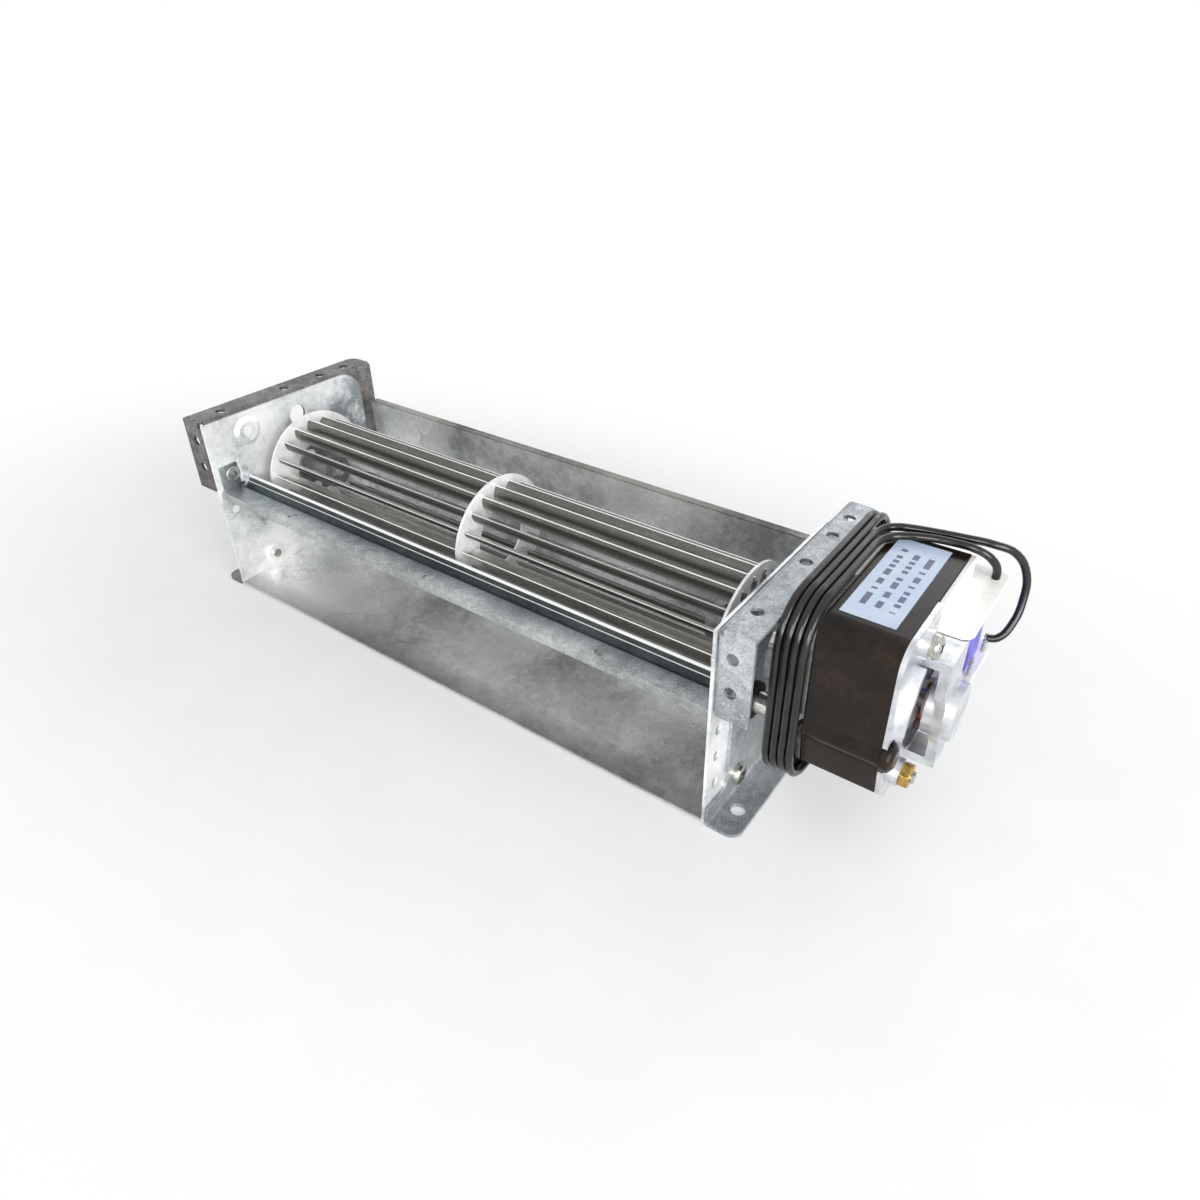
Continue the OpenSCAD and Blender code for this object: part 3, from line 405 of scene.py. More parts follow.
# Painted highlights along the crease and along the tip of the tongue.
painted_highlight = node(ledge_zinc, "ValToRGB", Fac=rise, settings={"stops": (
    (0.62, "#000000"), (0.66, "#ffffff"), (0.7, "#000000"), (0.93, "#000000"), (0.96, "#ffffff"))})
painted_highlight = node(ledge_zinc, "Math", {"operation": "MULTIPLY"}, i0=painted_highlight, i1=behind)
edged = node(ledge_zinc, "Mix", {"data_type": "RGBA"}, i0=painted_highlight, i6=tinted_colour, i7=hexa("#f4f5f5")).outputs[2]
link(ledge_zinc, edged, shader["Base Color"])

# %% [markdown]
# The lip of the duct floor is painted darker than the rest of the duct, a painted shade that holds down the
# sky light it catches, and the hem on top of the back wall catches dust. The tint of the lip fades out over
# 9 mm, and that of the hem stops where the sheet is folded.

# %% Painted shade at the lip and dust on the hem
LIP_Y, LIP_WIDTH, HEM_Z = -35.0, 9.0, 11.3

axes = coordinates(duct_zinc)
near_lip = node(duct_zinc, "MapRange", Value=axes[1], i1=LIP_Y * MM, i2=(LIP_Y + LIP_WIDTH) * MM)
# Painted shade along the lip of the duct floor.
lip_shade = node(duct_zinc, "ValToRGB", Fac=near_lip, settings={
    "stops": ((0.0, "#c2c2c1"), (0.5, "#dcdcdb"), (1.0, "#ffffff"))})
on_hem = node(duct_zinc, "Math", {"operation": "GREATER_THAN"}, i0=axes[2], i1=at(0, 0, HEM_Z).z)
dust_and_lip_shade = node(duct_zinc, "Mix", {"data_type": "RGBA"}, i0=on_hem, i6=lip_shade, i7=hexa("#9a9590")).outputs[2]
tinted(duct_zinc, dust_and_lip_shade)

# %% [markdown]
# Rolled aluminium strip. The blades are cut from bright strip and keep the fine lines of the rolls along
# their length, which come from a noise that is squeezed hard across the strip: 70 mm along it and 1.2 mm
# across. The outer half of each blade is painted dark grey, a painted shade for the dark surroundings
# mirrored in the blades, with bright grains of 0.4 mm in it; the very tip carries a painted highlight, and
# the metal is clean towards the inside. The tone therefore follows the distance from the axis, worked out
# from the coordinates and made uneven by a noise. The lugs that are folded over the end discs lie outside
# the air stream and stay bright.

# %% Fan blades
BLADE_IN, BLADE_OUT, DISC_X = 12.0, 18.0, 90.0
UNEVEN, TIP_SHARE = 0.5, 0.985

blade_strip, shader, place = finish("rolled_aluminium_blades", Metallic=1.0)
from_axis = node(blade_strip, "VectorMath", {"operation": "SUBTRACT"}, i0=place, i1=at(0, 0, 0))
across = node(blade_strip, "VectorMath", {"operation": "MULTIPLY"}, i0=from_axis, i1=(0, 1, 1))
radius = node(blade_strip, "VectorMath", {"operation": "LENGTH"}, i0=across).outputs["Value"]
depth = node(blade_strip, "MapRange", Value=radius, i1=BLADE_IN * MM, i2=BLADE_OUT * MM)
along = node(blade_strip, "Mapping", Vector=place, Scale=(per(70), per(1.2), per(1.2)))
lines = node(blade_strip, "TexNoise", Vector=along, Scale=1.0, Detail=4.0)
uneven_place = node(blade_strip, "Mapping", Vector=place, Scale=(per(14), per(2.4), per(2.4)))
uneven_noise = node(blade_strip, "TexNoise", Vector=uneven_place, Scale=1.0, Detail=6.0, Roughness=0.7)
uneven = node(blade_strip, "Math", {"operation": "MULTIPLY_ADD"}, i0=uneven_noise, i1=UNEVEN, i2=-UNEVEN / 2)
painted_shade = node(blade_strip, "Math", {"operation": "ADD"}, i0=depth, i1=uneven)
# Painted shade: darker grey towards the outer edge, for the dark surroundings mirrored in the blades.
tone = node(blade_strip, "ValToRGB", Fac=painted_shade, settings={
    "stops": ((0.05, "#ececea"), (0.3, "#d6d4d1"), (0.52, "#908e8b"), (0.85, "#6b6966"))})
grains = node(blade_strip, "TexNoise", Vector=place, Scale=per(0.4), Detail=2.0, Roughness=0.6)
speck = node(blade_strip, "MapRange", Value=grains, i1=0.6, i2=0.74, i3=0.0, i4=0.55)
tone = node(blade_strip, "Mix", {"data_type": "RGBA"}, i0=speck, i6=tone, i7=hexa("#c9c8c5")).outputs[2]
from_middle = node(blade_strip, "SeparateXYZ", Vector=place).outputs[0]
from_middle = node(blade_strip, "Math", {"operation": "ABSOLUTE"}, i0=from_middle)
lug = node(blade_strip, "Math", {"operation": "GREATER_THAN"}, i0=from_middle, i1=DISC_X * MM)
# Painted highlight along the tip; the lugs take the same bright colour.
tip_highlight_and_lug = node(blade_strip, "Math", {"operation": "GREATER_THAN"}, i0=depth, i1=TIP_SHARE)
tip_highlight_and_lug = node(blade_strip, "Math", {"operation": "MAXIMUM"}, i0=tip_highlight_and_lug, i1=lug)
edge = node(blade_strip, "Mix", {"data_type": "RGBA"}, i0=tip_highlight_and_lug, i6=tone, i7=hexa("#f4f4f2")).outputs[2]
link(blade_strip, edge, shader["Base Color"])
link(blade_strip, node(blade_strip, "MapRange", Value=painted_shade, i3=0.2, i4=0.5), shader["Roughness"])
link(blade_strip, node(blade_strip, "Bump", Height=lines, Strength=0.12, Distance=0.2 * MM),
     shader["Normal"])

# %% [markdown]
# The three discs of the wheel and the rivets of its hubs are clean bright
# aluminium. Their scratches run in all directions, because the blanks tumble
# over each other after punching, and that scatters part of the light. The
# scratches are 0.8 mm wide here, coarser than real ones so that they show,
# and the patches between them 6 mm.

# %% Aluminium discs
disc_sheet, shader, place = finish("tumbled_aluminium_sheet", Metallic=0.45)
scratches = node(disc_sheet, "TexNoise", Vector=place, Scale=per(0.8), Detail=5.0, Roughness=0.65)
patches = node(disc_sheet, "TexNoise", Vector=place, Scale=per(6), Detail=4.0)
shade = node(disc_sheet, "ValToRGB", {"stops": ((0.35, "#e2e3e4"), (0.6, "#fcfcfc"))}, Fac=patches)
link(disc_sheet, shade, shader["Base Color"])
rough = node(disc_sheet, "MapRange", Value=patches, i1=0.3, i2=0.7, i3=0.62, i4=0.46)
link(disc_sheet, rough, shader["Roughness"])
link(disc_sheet, node(disc_sheet, "Bump", Height=scratches, Strength=0.2, Distance=0.2 * MM),
     shader["Normal"])

# %% [markdown]
# Zinc die casting. The bearing brackets come out of the die with a fine
# orange-peel skin, bright where the die was polished and dull grey where the
# metal froze first. A soft noise of 4 mm drives both colour and roughness,
# and a finer one of 0.7 mm lifts the skin a few hundredths of a millimetre.

# %% Die-cast metal
die_cast, shader, place = finish("die_cast_zinc", Metallic=1.0)
frozen = node(die_cast, "TexNoise", Vector=place, Scale=per(4), Detail=5.0, Roughness=0.6)
peel = node(die_cast, "TexNoise", Vector=place, Scale=per(0.7), Detail=3.0)
shade = node(die_cast, "ValToRGB", Fac=frozen, settings={
    "stops": ((0.3, "#bbbec3"), (0.5, "#d9dbdf"), (0.7, "#eceef0"))})
link(die_cast, shade, shader["Base Color"])
rough = node(die_cast, "MapRange", Value=frozen, i1=0.3, i2=0.7, i3=0.46, i4=0.28)
link(die_cast, rough, shader["Roughness"])
link(die_cast, node(die_cast, "Bump", Height=peel, Strength=0.3, Distance=0.2 * MM),
     shader["Normal"])

# %% [markdown]
# Painted laminations. The stack of the motor is punched from silicon steel
# half a millimetre thick, riveted up and dipped in black varnish, which runs
# thin on the edges so that the brown of the steel shows through. The sheets
# show as fine lines across the stack: a wave along X at 1.0 mm, twice the
# real spacing, so that the lines still show at this size. The varnish runs
# in clouds of 12 mm, and dust in it gives raised specks of 0.7 mm. A wave
# node repeats 20 times in 2 pi units, which its scale makes up for.

# %% Varnished stack
WAVE_PERIOD = 2 * math.pi / 20
LINE_PITCH, RIDGE_PITCH, SPECK_LIFT = 1.0, 0.6, 0.9

varnish, shader, place = finish("varnished_silicon_steel", Specular_IOR_Level=0.25)
sheets = node(varnish, "TexWave", {"wave_type": "BANDS", "bands_direction": "X"}, Vector=place,
              Scale=WAVE_PERIOD * per(LINE_PITCH))
thin = node(varnish, "TexNoise", Vector=place, Scale=per(12), Detail=6.0, Roughness=0.7)
specks = node(varnish, "TexNoise", Vector=place, Scale=per(0.7), Detail=2.0)
shade = node(varnish, "ValToRGB", Fac=thin, settings={
    "stops": ((0.35, "#0f0b08"), (0.55, "#1f1610"), (0.8, "#38281c"))})
link(varnish, shade, shader["Base Color"])
rough = node(varnish, "MapRange", Value=thin, i1=0.3, i2=0.7, i3=0.18, i4=0.32)
link(varnish, rough, shader["Roughness"])
relief = node(varnish, "Math", {"operation": "MULTIPLY_ADD"}, i0=specks, i1=SPECK_LIFT, i2=sheets)
link(varnish, node(varnish, "Bump", Height=relief, Strength=0.12, Distance=0.15 * MM),
     shader["Normal"])

# %% [markdown]
# Moulded nylon. The bobbin is white glass-filled nylon, which lets a little
# light in, 2 mm deep, and so looks soft at its edges. A faint mottling of
# 1.4 mm comes from the fibres, and the surface is satin rather than glossy.

# %% White nylon
white_nylon, shader, place = finish("moulded_white_nylon", Subsurface_Weight=0.08, IOR=1.53,
                                    Subsurface_Radius=(2 * MM, 2 * MM, 2 * MM))
fibres = node(white_nylon, "TexNoise", Vector=place, Scale=per(1.4), Detail=4.0)
shade = node(white_nylon, "ValToRGB", {"stops": ((0.3, "#eeede8"), (0.7, "#f9f8f4"))}, Fac=fibres)
link(white_nylon, shade, shader["Base Color"])
link(white_nylon, node(white_nylon, "MapRange", Value=fibres, i3=0.36, i4=0.5), shader["Roughness"])
link(white_nylon, node(white_nylon, "Bump", Height=fibres, Strength=0.15, Distance=0.1 * MM),
     shader["Normal"])

# %% [markdown]
# Polyester tape. The winding is wrapped in blue-violet tape that follows the
# wires below, so it shows low ridges at the wire spacing of 0.6 mm, and soft
# folds of 7 mm where the tape was pulled tight.

# %% Coil tape
coil_tape, shader, place = finish("polyester_coil_tape")
ridges = node(coil_tape, "TexWave", {"wave_type": "BANDS", "bands_direction": "Z"}, Vector=place,
              Scale=WAVE_PERIOD * per(RIDGE_PITCH), Distortion=0.6, Detail=1.0)
folds = node(coil_tape, "TexNoise", Vector=place, Scale=per(7), Detail=4.0)
shade = node(coil_tape, "ValToRGB", Fac=folds, settings={
    "stops": ((0.3, "#3d369c"), (0.55, "#564dc6"), (0.8, "#7d77dd"))})
link(coil_tape, shade, shader["Base Color"])
link(coil_tape, node(coil_tape, "MapRange", Value=folds, i3=0.22, i4=0.4), shader["Roughness"])
link(coil_tape, node(coil_tape, "Bump", Height=ridges, Strength=0.25, Distance=0.25 * MM),
     shader["Normal"])

# %% [markdown]
# PVC insulation. Extruded PVC is smooth and shiny with a slight waviness of
# 4 mm along the wire from the die. The black is not quite black, and the gloss
# gives the long thin highlights that make the turns read as round.

# %% Black PVC
black_pvc, shader, place = finish("extruded_black_pvc")
waviness = node(black_pvc, "TexNoise", Vector=place, Scale=per(4), Detail=3.0)
shade = node(black_pvc, "ValToRGB", {"stops": ((0.3, "#0d0c0b"), (0.75, "#211f1d"))}, Fac=waviness)
link(black_pvc, shade, shader["Base Color"])
link(black_pvc, node(black_pvc, "MapRange", Value=waviness, i3=0.14, i4=0.28), shader["Roughness"])
link(black_pvc, node(black_pvc, "Bump", Height=waviness, Strength=0.12, Distance=0.3 * MM),
     shader["Normal"])

# %% [markdown]
# The small hardware. Bright zinc plate, tumbled steel, bronze, brass, copper,
# rubber and nylon differ in colour and gloss only, so one function makes them
# all from two colours and a range of roughness, with a fine mottle between.
# The mottle is about a millimetre on plated and turned metal, finer on
# sintered bronze and wire, and coarser on what is moulded.

# %% Small hardware finishes


def hardware(name, dark, light, low, high, metal=1.0, grain=1.1, relief=0.02):
    """Two colours, the range of roughness, and the width and height of the mottle in millimetres."""
    material, shader, place = finish(name, Metallic=metal)
    mottle = node(material, "TexNoise", Vector=place, Scale=per(grain), Detail=4.0, Roughness=0.6)
    colour = node(material, "ValToRGB", {"stops": ((0.3, dark), (0.7, light))}, Fac=mottle)
    link(material, colour, shader["Base Color"])
    link(material, node(material, "MapRange", Value=mottle, i3=low, i4=high), shader["Roughness"])
    link(material, node(material, "Bump", Height=mottle, Strength=0.2, Distance=relief * MM),
         shader["Normal"])
    return material


zinc_plate = hardware("bright_zinc_plate", "#aaa9a2", "#d8d7d1", 0.18, 0.34)
nickel_plate = hardware("nickel_plated_screws", "#a19f97", "#cfcdc6", 0.14, 0.28)
yellow_brass = hardware("turned_brass", "#a8853c", "#d1b066", 0.18, 0.34)
bronze = hardware("sintered_bronze", "#7d5b35", "#a98452", 0.42, 0.58, grain=0.6, relief=0.2)
copper = hardware("bare_copper", "#7a4127", "#a9633a", 0.3, 0.46)
dark_steel = hardware("oiled_steel", "#3f4145", "#64676c", 0.28, 0.44)
rubber = hardware("moulded_rubber", "#121213", "#202022", 0.55, 0.72, metal=0.0, grain=2.0, relief=0.1)
rivet_metal = hardware("drawn_aluminium_rivets", "#8d8f91", "#bbbcbd", 0.34, 0.5)
soft_nylon = hardware("natural_nylon", "#dcdacf", "#ecebe2", 0.38, 0.5, metal=0.0, grain=2.0)
cast_hub = hardware("as_cast_hub", "#6f7072", "#98999b", 0.42, 0.58, grain=1.4, relief=0.2)
tinned_wire = hardware("tinned_copper_strand", "#a9a69c", "#d6d4cb", 0.2, 0.34, grain=0.55, relief=0.2)

# %% [markdown]
# The rating label is a pale blue-white film. A real one carries printing, and
# this one carries plain bars in three rows, drawn in the material with
# arithmetic on the coordinates: rows across the short side, and gaps along
# each row from a noise that jumps from bar to bar.

# %% Label film
ROW_PITCH, ROW_HEIGHT, ROW_INSET = 3.5, 0.42, 2.4
BAR_RUN, BAR_STEP, BAR_SHARE = 14.0, 2.4, 0.48
MIDDLE_ROW, ROW_REACH = 1.0, 1.1

label_film, shader, place = finish("printed_label_film")
label_low, label_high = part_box("rating_label")
label_middle = (label_low.y + label_high.y) / 2
axes = node(label_film, "SeparateXYZ", Vector=place).outputs
row = node(label_film, "Math", {"operation": "SUBTRACT"}, i0=axes[0], i1=label_low.x + ROW_INSET * MM)
row = node(label_film, "Math", {"operation": "DIVIDE"}, i0=row, i1=ROW_PITCH * MM)
number = node(label_film, "Math", {"operation": "FLOOR"}, i0=row)
height = node(label_film, "Math", {"operation": "FRACT"}, i0=row)
low_part = node(label_film, "Math", {"operation": "LESS_THAN"}, i0=height, i1=ROW_HEIGHT)
three_rows = node(label_film, "Math", {"operation": "COMPARE"}, i0=number, i1=MIDDLE_ROW, i2=ROW_REACH)
steps = node(label_film, "Math", {"operation": "MULTIPLY"}, i0=axes[1], i1=per(BAR_STEP))
reading = node(label_film, "CombineXYZ", X=number, Y=steps)
jumps = node(label_film, "TexNoise", Vector=reading, Scale=1.0, Detail=0.0)
bars = node(label_film, "Math", {"operation": "GREATER_THAN"}, i0=jumps, i1=BAR_SHARE)
inside = node(label_film, "Math", {"operation": "COMPARE"}, i0=axes[1], i1=label_middle, i2=BAR_RUN * MM)
ink = low_part
for mask in (three_rows, bars, inside):
    ink = node(label_film, "Math", {"operation": "MULTIPLY"}, i0=ink, i1=mask)
film = node(label_film, "TexNoise", Vector=place, Scale=per(5), Detail=3.0)
pale = node(label_film, "ValToRGB", {"stops": ((0.3, "#bccbe1"), (0.7, "#cbd7e9"))}, Fac=film)
printed = node(label_film, "Mix", {"data_type": "RGBA"}, i0=ink, i6=pale, i7=hexa("#59627a")).outputs[2]
link(label_film, printed, shader["Base Color"])
link(label_film, node(label_film, "MapRange", Value=film, i3=0.32, i4=0.44), shader["Roughness"])

# %% [markdown]
# Now the frame's own solids get their finishes. The import leaves each solid
# with one material slot, so the finish is put into it, and every solid that a
# new piece stands for later simply stays hidden.

# %% Finishes on the frame
FINISHES = {
    "galvanised": bracket_zinc, "aluminium": disc_sheet, "zinc": zinc_plate, "die_cast": die_cast,
    "dark_steel": dark_steel, "rubber": rubber, "bronze": bronze, "nylon": soft_nylon,
    "black_paint": varnish, "copper": copper, "label": label_film, "white_plastic": white_nylon,
    "tape": coil_tape, "brass": yellow_brass, "lead_sheath": black_pvc, "tinned": tinned_wire,
}


def paint(thing, material):
    thing.data.materials.clear()
    thing.data.materials.append(material)


for solid in frame["record"]["subparts"]:
    paint(NODES[solid["node"]], FINISHES[solid["material_slot"]])
paint(NODES["scroll"], duct_zinc)
for name in ("left_cheek", "right_cheek"):
    paint(NODES[name], cheek_zinc)
paint(NODES["left_bracket"], shaded_zinc)
paint(NODES["vortex_wall"], ledge_zinc)
paint(NODES["impeller_blades"], blade_strip)
for name in ("hub_left", "hub_right"):
    paint(NODES[name], cast_hub)
paint(lead_from_terminal, black_pvc)
paint(lead_from_coil, black_pvc)

# %% [markdown]
# Real edges are never sharp: a casting has a radius from its die, a moulding
# from its tool, and a punched sheet a small burr that was tumbled off. Those
# edges catch the light and tell the eye what it looks at. A copy of the
# solid is merged into one closed mesh, flat faces are joined, and a Bevel
# modifier rounds only the edges that are sharper than 35 degrees. The blades
# get no bevel, as their strip is only 0.4 mm thick, but the copy lets their
# curved faces be shaded smooth.

# %% Helpers for the copies
SHARP, FLAT, TOUCHING = math.radians(35), math.radians(0.5), 0.005 * MM


def only(thing):
    bpy.ops.object.select_all(action="DESELECT")
    thing.select_set(True)
    bpy.context.view_layer.objects.active = thing


def shade_true(thing):
    """Smooth shading over curves, with normals weighted so that flat faces stay flat."""
    only(thing)
    bpy.ops.object.shade_smooth_by_angle(angle=SHARP)
    weigh = thing.modifiers.new("flats", "WEIGHTED_NORMAL")
    weigh.keep_sharp = True
    bpy.ops.object.modifier_apply(modifier=weigh.name)


def rounded(source, name, radius, steps, slot):
    """A copy of a frame solid, its edges rounded by a radius in so many steps, which stands for it."""
    copy = NODES[source].copy()
    copy.data = NODES[source].data.copy()
    copy.name = name
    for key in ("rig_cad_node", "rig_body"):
        if key in copy:
            del copy[key]
    copy.parent = None
    bpy.context.scene.collection.objects.link(copy)
    only(copy)
    bpy.ops.object.mode_set(mode="EDIT")
    bpy.ops.mesh.select_all(action="SELECT")
    bpy.ops.mesh.remove_doubles(threshold=TOUCHING)
    bpy.ops.mesh.dissolve_limited(angle_limit=FLAT)
    bpy.ops.object.mode_set(mode="OBJECT")
    if radius:
        bevel = copy.modifiers.new("edges", "BEVEL")
        bevel.width = radius * MM
        bevel.segments = steps
        bevel.limit_method = "ANGLE"
        bevel.angle_limit = SHARP
        bevel.use_clamp_overlap = True
        bpy.ops.object.modifier_apply(modifier=bevel.name)
    shade_true(copy)
    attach(copy, NODES[source]["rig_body"])
    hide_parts(source)
    print(name, "has", len(copy.data.polygons), "faces")
    return copy


# %% [markdown]
# The table names each solid, its copy, the radius in millimetres, the steps
# of the rounding and the slot. The moulded and wrapped parts have the larger
# radii, and bent sheet has only its burr taken off.

# %% Rounded copies
ROUNDED = [
    ("bracket_outer", "outer_casting", 0.45, 3, "die_cast"),
    ("bracket_inner", "inner_casting", 0.35, 2, "die_cast"),
    ("coil_bobbin", "bobbin_moulding", 0.3, 2, "white_plastic"),
    ("coil_winding", "taped_winding", 0.9, 3, "tape"),
    ("stator_stack", "varnished_stack", 0.12, 2, "black_paint"),
    ("stack_rod", "front_rod", 0.7, 3, "black_paint"),
    ("ledge_rivets", "ledge_rivet_heads", 0.6, 3, "aluminium"),
    ("stack_nuts", "brass_nuts", 0.25, 2, "brass"),
    ("right_bracket", "bent_right_bracket", 0.12, 1, "galvanised"),
    ("left_bracket", "bent_left_bracket", 0.12, 1, "galvanised"),
    ("scroll", "folded_scroll", 0.12, 1, "galvanised"),
    ("vortex_wall", "folded_ledge", 0.12, 1, "galvanised"),
    ("impeller_blades", "smooth_blades", 0, 0, "aluminium"),
]
dressed = {row[1]: rounded(*row) for row in ROUNDED}

# %% [markdown]
# The rivets of the ledge are hollow ones of duller aluminium. One long rod
# reaches into both of them from inside the duct, and a Boolean modifier takes
# it out of them, so each bore is blind.

# %% Hollow rivets
RIVET_YZ, RIVET_BORE, BORE_END = (-29.4, 6.4), 2.4, 97.2


def cut_away(thing, tool):
    """Takes the shape of a tool out of a piece and removes the tool."""
    only(thing)
    cut = thing.modifiers.new("cut", "BOOLEAN")
    cut.object = tool
    cut.solver = "EXACT"
    bpy.ops.object.modifier_apply(modifier=cut.name)
    bpy.data.objects.remove(tool)


rivet_heads = dressed["ledge_rivet_heads"]
paint(rivet_heads, rivet_metal)
bpy.ops.object.select_all(action="DESELECT")
bpy.ops.mesh.primitive_cylinder_add(vertices=24, radius=RIVET_BORE / 2 * MM, depth=2 * BORE_END * MM,
                                    location=at(0, *RIVET_YZ), rotation=(0, math.radians(90), 0))
cut_away(rivet_heads, bpy.context.active_object)
shade_true(rivet_heads)

# %% [markdown]
# Pan-head screws with a cross recess hold the cheeks, the stack and the
# motor. The frame has them as plain cylinders. Here one is made as on a
# lathe: a disc for the head, its rim rounded over, the shank pulled out of
# its lower face, and the cross cut with two crossed blocks that stand half
# in the head. It is then copied to each place, and each set becomes one piece.

# %% One pan-head screw
HEAD_R, SHANK_R, RIM_R = 3.0, 1.5, 1.15
CROSS_LONG, CROSS_WIDE, CROSS_TALL = 3.3, 0.85, 1.6


def pick(thing, test):
    """Edit mode, with the faces selected whose middle and normal pass a test."""
    only(thing)
    bpy.ops.object.mode_set(mode="EDIT")
    bpy.ops.mesh.select_mode(type="FACE")
    bpy.ops.mesh.select_all(action="DESELECT")
    bpy.ops.object.mode_set(mode="OBJECT")
    for face in thing.data.polygons:
        face.select = test(face.center, face.normal)
    bpy.ops.object.mode_set(mode="EDIT")


def block(width, length, tall, z):
    bpy.ops.object.select_all(action="DESELECT")
    bpy.ops.mesh.primitive_cube_add(size=1.0, location=(0, 0, z * MM))
    made = bpy.context.active_object
    made.scale = (width * MM, length * MM, tall * MM)
    bpy.ops.object.transform_apply(location=True, rotation=True, scale=True)
    return made


def pan_head_screw(head_h, length):
    """A screw with its head seat at the origin and its head towards +Z."""
    bpy.ops.object.select_all(action="DESELECT")
    bpy.ops.mesh.primitive_cylinder_add(vertices=40, radius=HEAD_R * MM, depth=head_h * MM,
                                        location=(0, 0, head_h / 2 * MM))
    screw = bpy.context.active_object
    bpy.ops.object.transform_apply(location=True, rotation=True, scale=True)
    pick(screw, lambda middle, normal: normal.z > 0.9)
    bpy.ops.mesh.bevel(offset=RIM_R * MM, segments=5, affect="EDGES")
    bpy.ops.object.mode_set(mode="OBJECT")
    pick(screw, lambda middle, normal: normal.z < -0.9)
    bpy.ops.mesh.inset(thickness=(HEAD_R - SHANK_R) * MM)
    bpy.ops.mesh.extrude_region_move(TRANSFORM_OT_translate={"value": (0, 0, -length * MM)})
    bpy.ops.object.mode_set(mode="OBJECT")
    cut_away(screw, block(CROSS_WIDE, CROSS_LONG, CROSS_TALL, head_h))
    cut_away(screw, block(CROSS_LONG, CROSS_WIDE, CROSS_TALL, head_h))
    shade_true(screw)
    return screw


# %% [markdown]
# A set of screws is given by the seats of their heads and the side that the
# heads face: +1 for the motor side, -1 for the left. Each copy is turned on
# its own axis by a different angle, as hands leave them, then from Z to X,
# put in place and joined. The place is written into the mesh, as on every
# other piece.

# %% Screw sets
FIRST_TURN, NEXT_TURN = 20, 50


def screw_set(name, source, head_h, length, seats, material):
    """One piece of equal screws; a seat is x, y, z and the side that the head faces."""
    first = pan_head_screw(head_h, length)
    copies = []
    for number, (x, y, z, side) in enumerate(seats):
        copy = first.copy()
        copy.data = first.data.copy()
        bpy.context.scene.collection.objects.link(copy)
        copy.rotation_euler = (0, 0, math.radians(FIRST_TURN + NEXT_TURN * number))
        only(copy)
        bpy.ops.object.transform_apply(location=False, rotation=True, scale=True)
        copy.rotation_euler = (0, math.radians(90 * side), 0)
        copy.location = at(x, y, z)
        bpy.ops.object.transform_apply(location=True, rotation=True, scale=True)
        copies.append(copy)
    bpy.data.objects.remove(first)
    only(copies[0])
    for copy in copies[1:]:
        copy.select_set(True)
    if len(copies) > 1:
        bpy.ops.object.join()
    made = bpy.context.active_object
    made.name = name
    paint(made, material)
    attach(made, "housing")
    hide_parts(source)
    print(name, "has", len(made.data.polygons), "faces")


OUTER_X, STACK_X0, STACK_X1, POST_H, WALL_X = 98.4, 116.0, 135.0, 3.0, 96.6
SIDE_Y, SIDE_Z = -20.6, -29.8
MOUNT_R, MOUNT_ANGLES, LIP = 17.4, (86, 206, 326), 1.5
screw_set("side_pan_screws", "side_screws", head_h=2.0, length=3.8, material=zinc_plate,
          seats=[(OUTER_X, SIDE_Y, SIDE_Z, 1), (-OUTER_X, SIDE_Y, SIDE_Z, -1)])
screw_set("stack_pan_screws", "stack_screws", head_h=2.2, length=28.2, material=nickel_plate,
          seats=[(STACK_X1 + POST_H, -12.6, 25, 1), (STACK_X0 - POST_H, -13.8, -12.4, -1),
                 (STACK_X1 + POST_H, 19.5, -12, 1)])
mount_seats = [(WALL_X - LIP, MOUNT_R * math.cos(math.radians(angle)),
                MOUNT_R * math.sin(math.radians(angle)), -1) for angle in MOUNT_ANGLES]
screw_set("motor_pan_screws", "motor_screws", head_h=2.0, length=15.3, material=zinc_plate,
          seats=mount_seats)

# %% [markdown]
# The floor is a plain pale sheet under the blower. Near the blower it is
# lit as paper is, so that it keeps the shadow, with a little of its own
# light towards the camera; further out it fades into the white of the
# background, so that no edge or horizon shows. Mirror and transmission rays
# see the same white, and only the soft bounce light sees plain paper.

# %% Floor
FLOOR_SIZE, FLOOR_DROP = 6.0, 0.0002
FADE_START, FADE_END, OVAL, OWN_LIGHT = 0.07, 0.19, 0.55, 0.3

bpy.ops.object.select_all(action="DESELECT")
bpy.ops.mesh.primitive_plane_add(size=FLOOR_SIZE, location=(0, 0, -FLOOR_DROP))
floor = bpy.context.active_object
floor.name = "floor"
bpy.ops.object.transform_apply(location=True, rotation=True, scale=True)
floor_paper, shader, place = finish("pale_paper", Roughness=0.9)
fibres = node(floor_paper, "TexNoise", Vector=place, Scale=per(25), Detail=3.0)
shade = node(floor_paper, "ValToRGB", {"stops": ((0.3, "#f0f0ef"), (0.7, "#f5f5f4"))}, Fac=fibres)
link(floor_paper, shade, shader["Base Color"])


def seen_directly(owner):
    """1 for rays from the camera, from a mirror or through glass, and 0 for soft bounce light."""
    path = node(owner, "LightPath").outputs
    seen = node(owner, "Math", {"operation": "MAXIMUM"}, i0=path["Is Camera Ray"], i1=path["Is Glossy Ray"])
    return node(owner, "Math", {"operation": "MAXIMUM"}, i0=seen, i1=path["Is Transmission Ray"])


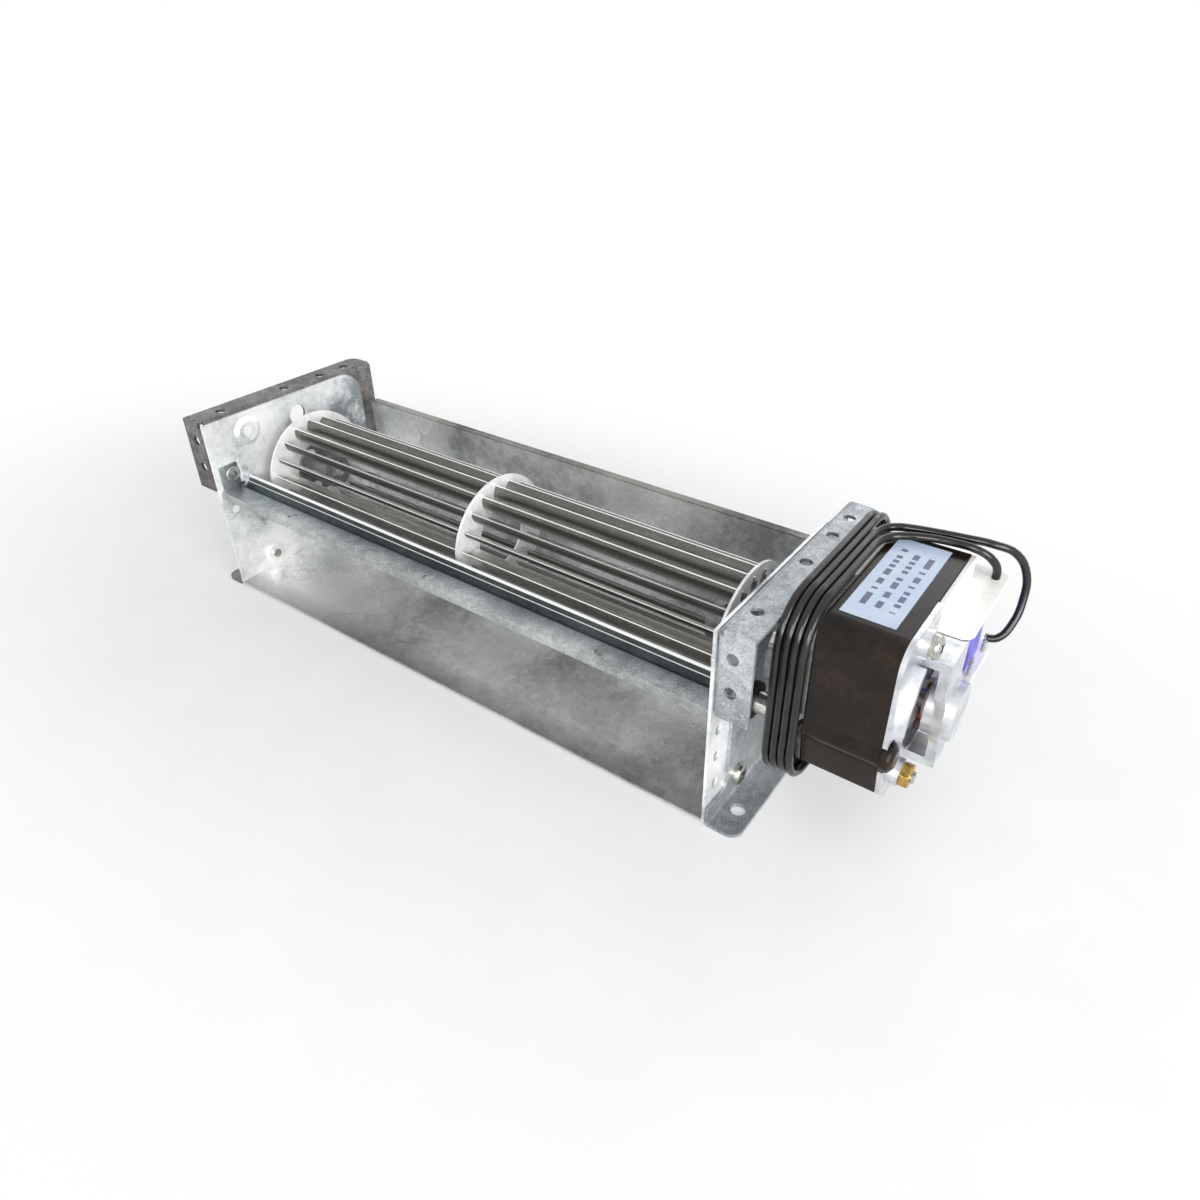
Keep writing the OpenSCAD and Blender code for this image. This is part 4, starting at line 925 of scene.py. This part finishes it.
oval = node(floor_paper, "Mapping", Vector=place, Scale=(OVAL, 1.0, 1.0))
away = node(floor_paper, "VectorMath", {"operation": "LENGTH"}, i0=oval).outputs["Value"]
fade = node(floor_paper, "MapRange", {"interpolation_type": "SMOOTHSTEP"}, Value=away,
            i1=FADE_START, i2=FADE_END, i3=OWN_LIGHT, i4=1.0)
share = node(floor_paper, "Math", {"operation": "MULTIPLY"}, i0=fade, i1=seen_directly(floor_paper))
white = node(floor_paper, "Emission", Color=hexa("#ffffff"), Strength=1.0)
paper = floor_paper.node_tree.nodes["Principled BSDF"]
surface = node(floor_paper, "MixShader", i0=share, i1=paper, i2=white)
link(floor_paper, surface, floor_paper.node_tree.nodes["Material Output"].inputs["Surface"])
paint(floor, floor_paper)

# %% [markdown]
# The light is plain and soft. A world that is bright above and dimmer below
# gives half of it, and four panels add direction: a low key from the front
# right that shines into the outlet, one on the motor's side that shines along
# the fan wheel to the left end, a weak one just over the floor that reaches
# the sheet below the motor, and one behind. Together they come to about the
# level at which a colour renders as it is written. The camera, mirrors and
# glass see plain white in place of the world.

# %% Light
world = bpy.data.worlds.new("studio")
bpy.context.scene.world = world
world.use_nodes = True
background = world.node_tree.nodes["Background"]
looking = node(world, "TexCoord").outputs["Generated"]
height = node(world, "SeparateXYZ", Vector=looking).outputs[2]
sky = node(world, "ValToRGB", {"stops": ((0.0, "#96938f"), (0.7, "#c6cbcf"))}, Fac=height)
shown = node(world, "Mix", {"data_type": "RGBA"}, i0=seen_directly(world), i6=sky, i7=hexa("#ffffff"))
link(world, shown.outputs[2], background.inputs["Color"])
background.inputs["Strength"].default_value = 1.0


def panel(name, place, size, watts, colour):
    data = bpy.data.lights.new(name, "AREA")
    data.shape = "RECTANGLE"
    data.size, data.size_y = size
    data.energy = watts
    data.color = hexa(colour)[:3]
    lamp = bpy.data.objects.new(name, data)
    bpy.context.scene.collection.objects.link(lamp)
    lamp.location = place
    lamp.rotation_euler = (at(0, 0, 0) - Vector(place)).to_track_quat("-Z", "Y").to_euler()


panel("key", (0.5, -0.85, 0.42), (0.4, 0.4), 5.2, "#fffdf8")
panel("side", (1.0, -0.3, 0.42), (0.4, 0.4), 4.8, "#ffffff")
panel("low", (0.8, -0.42, 0.1), (0.4, 0.14), 2.4, "#ffffff")
panel("rim", (0.1, 0.9, 0.5), (0.8, 0.3), 1.5, "#f4f8ff")

bpy.context.scene.view_settings.view_transform = "Standard"

# %% [markdown]
# The view layer is updated first, so that the curves and joined pieces
# report the boxes they really have.

# %% Finish
bpy.context.view_layer.update()
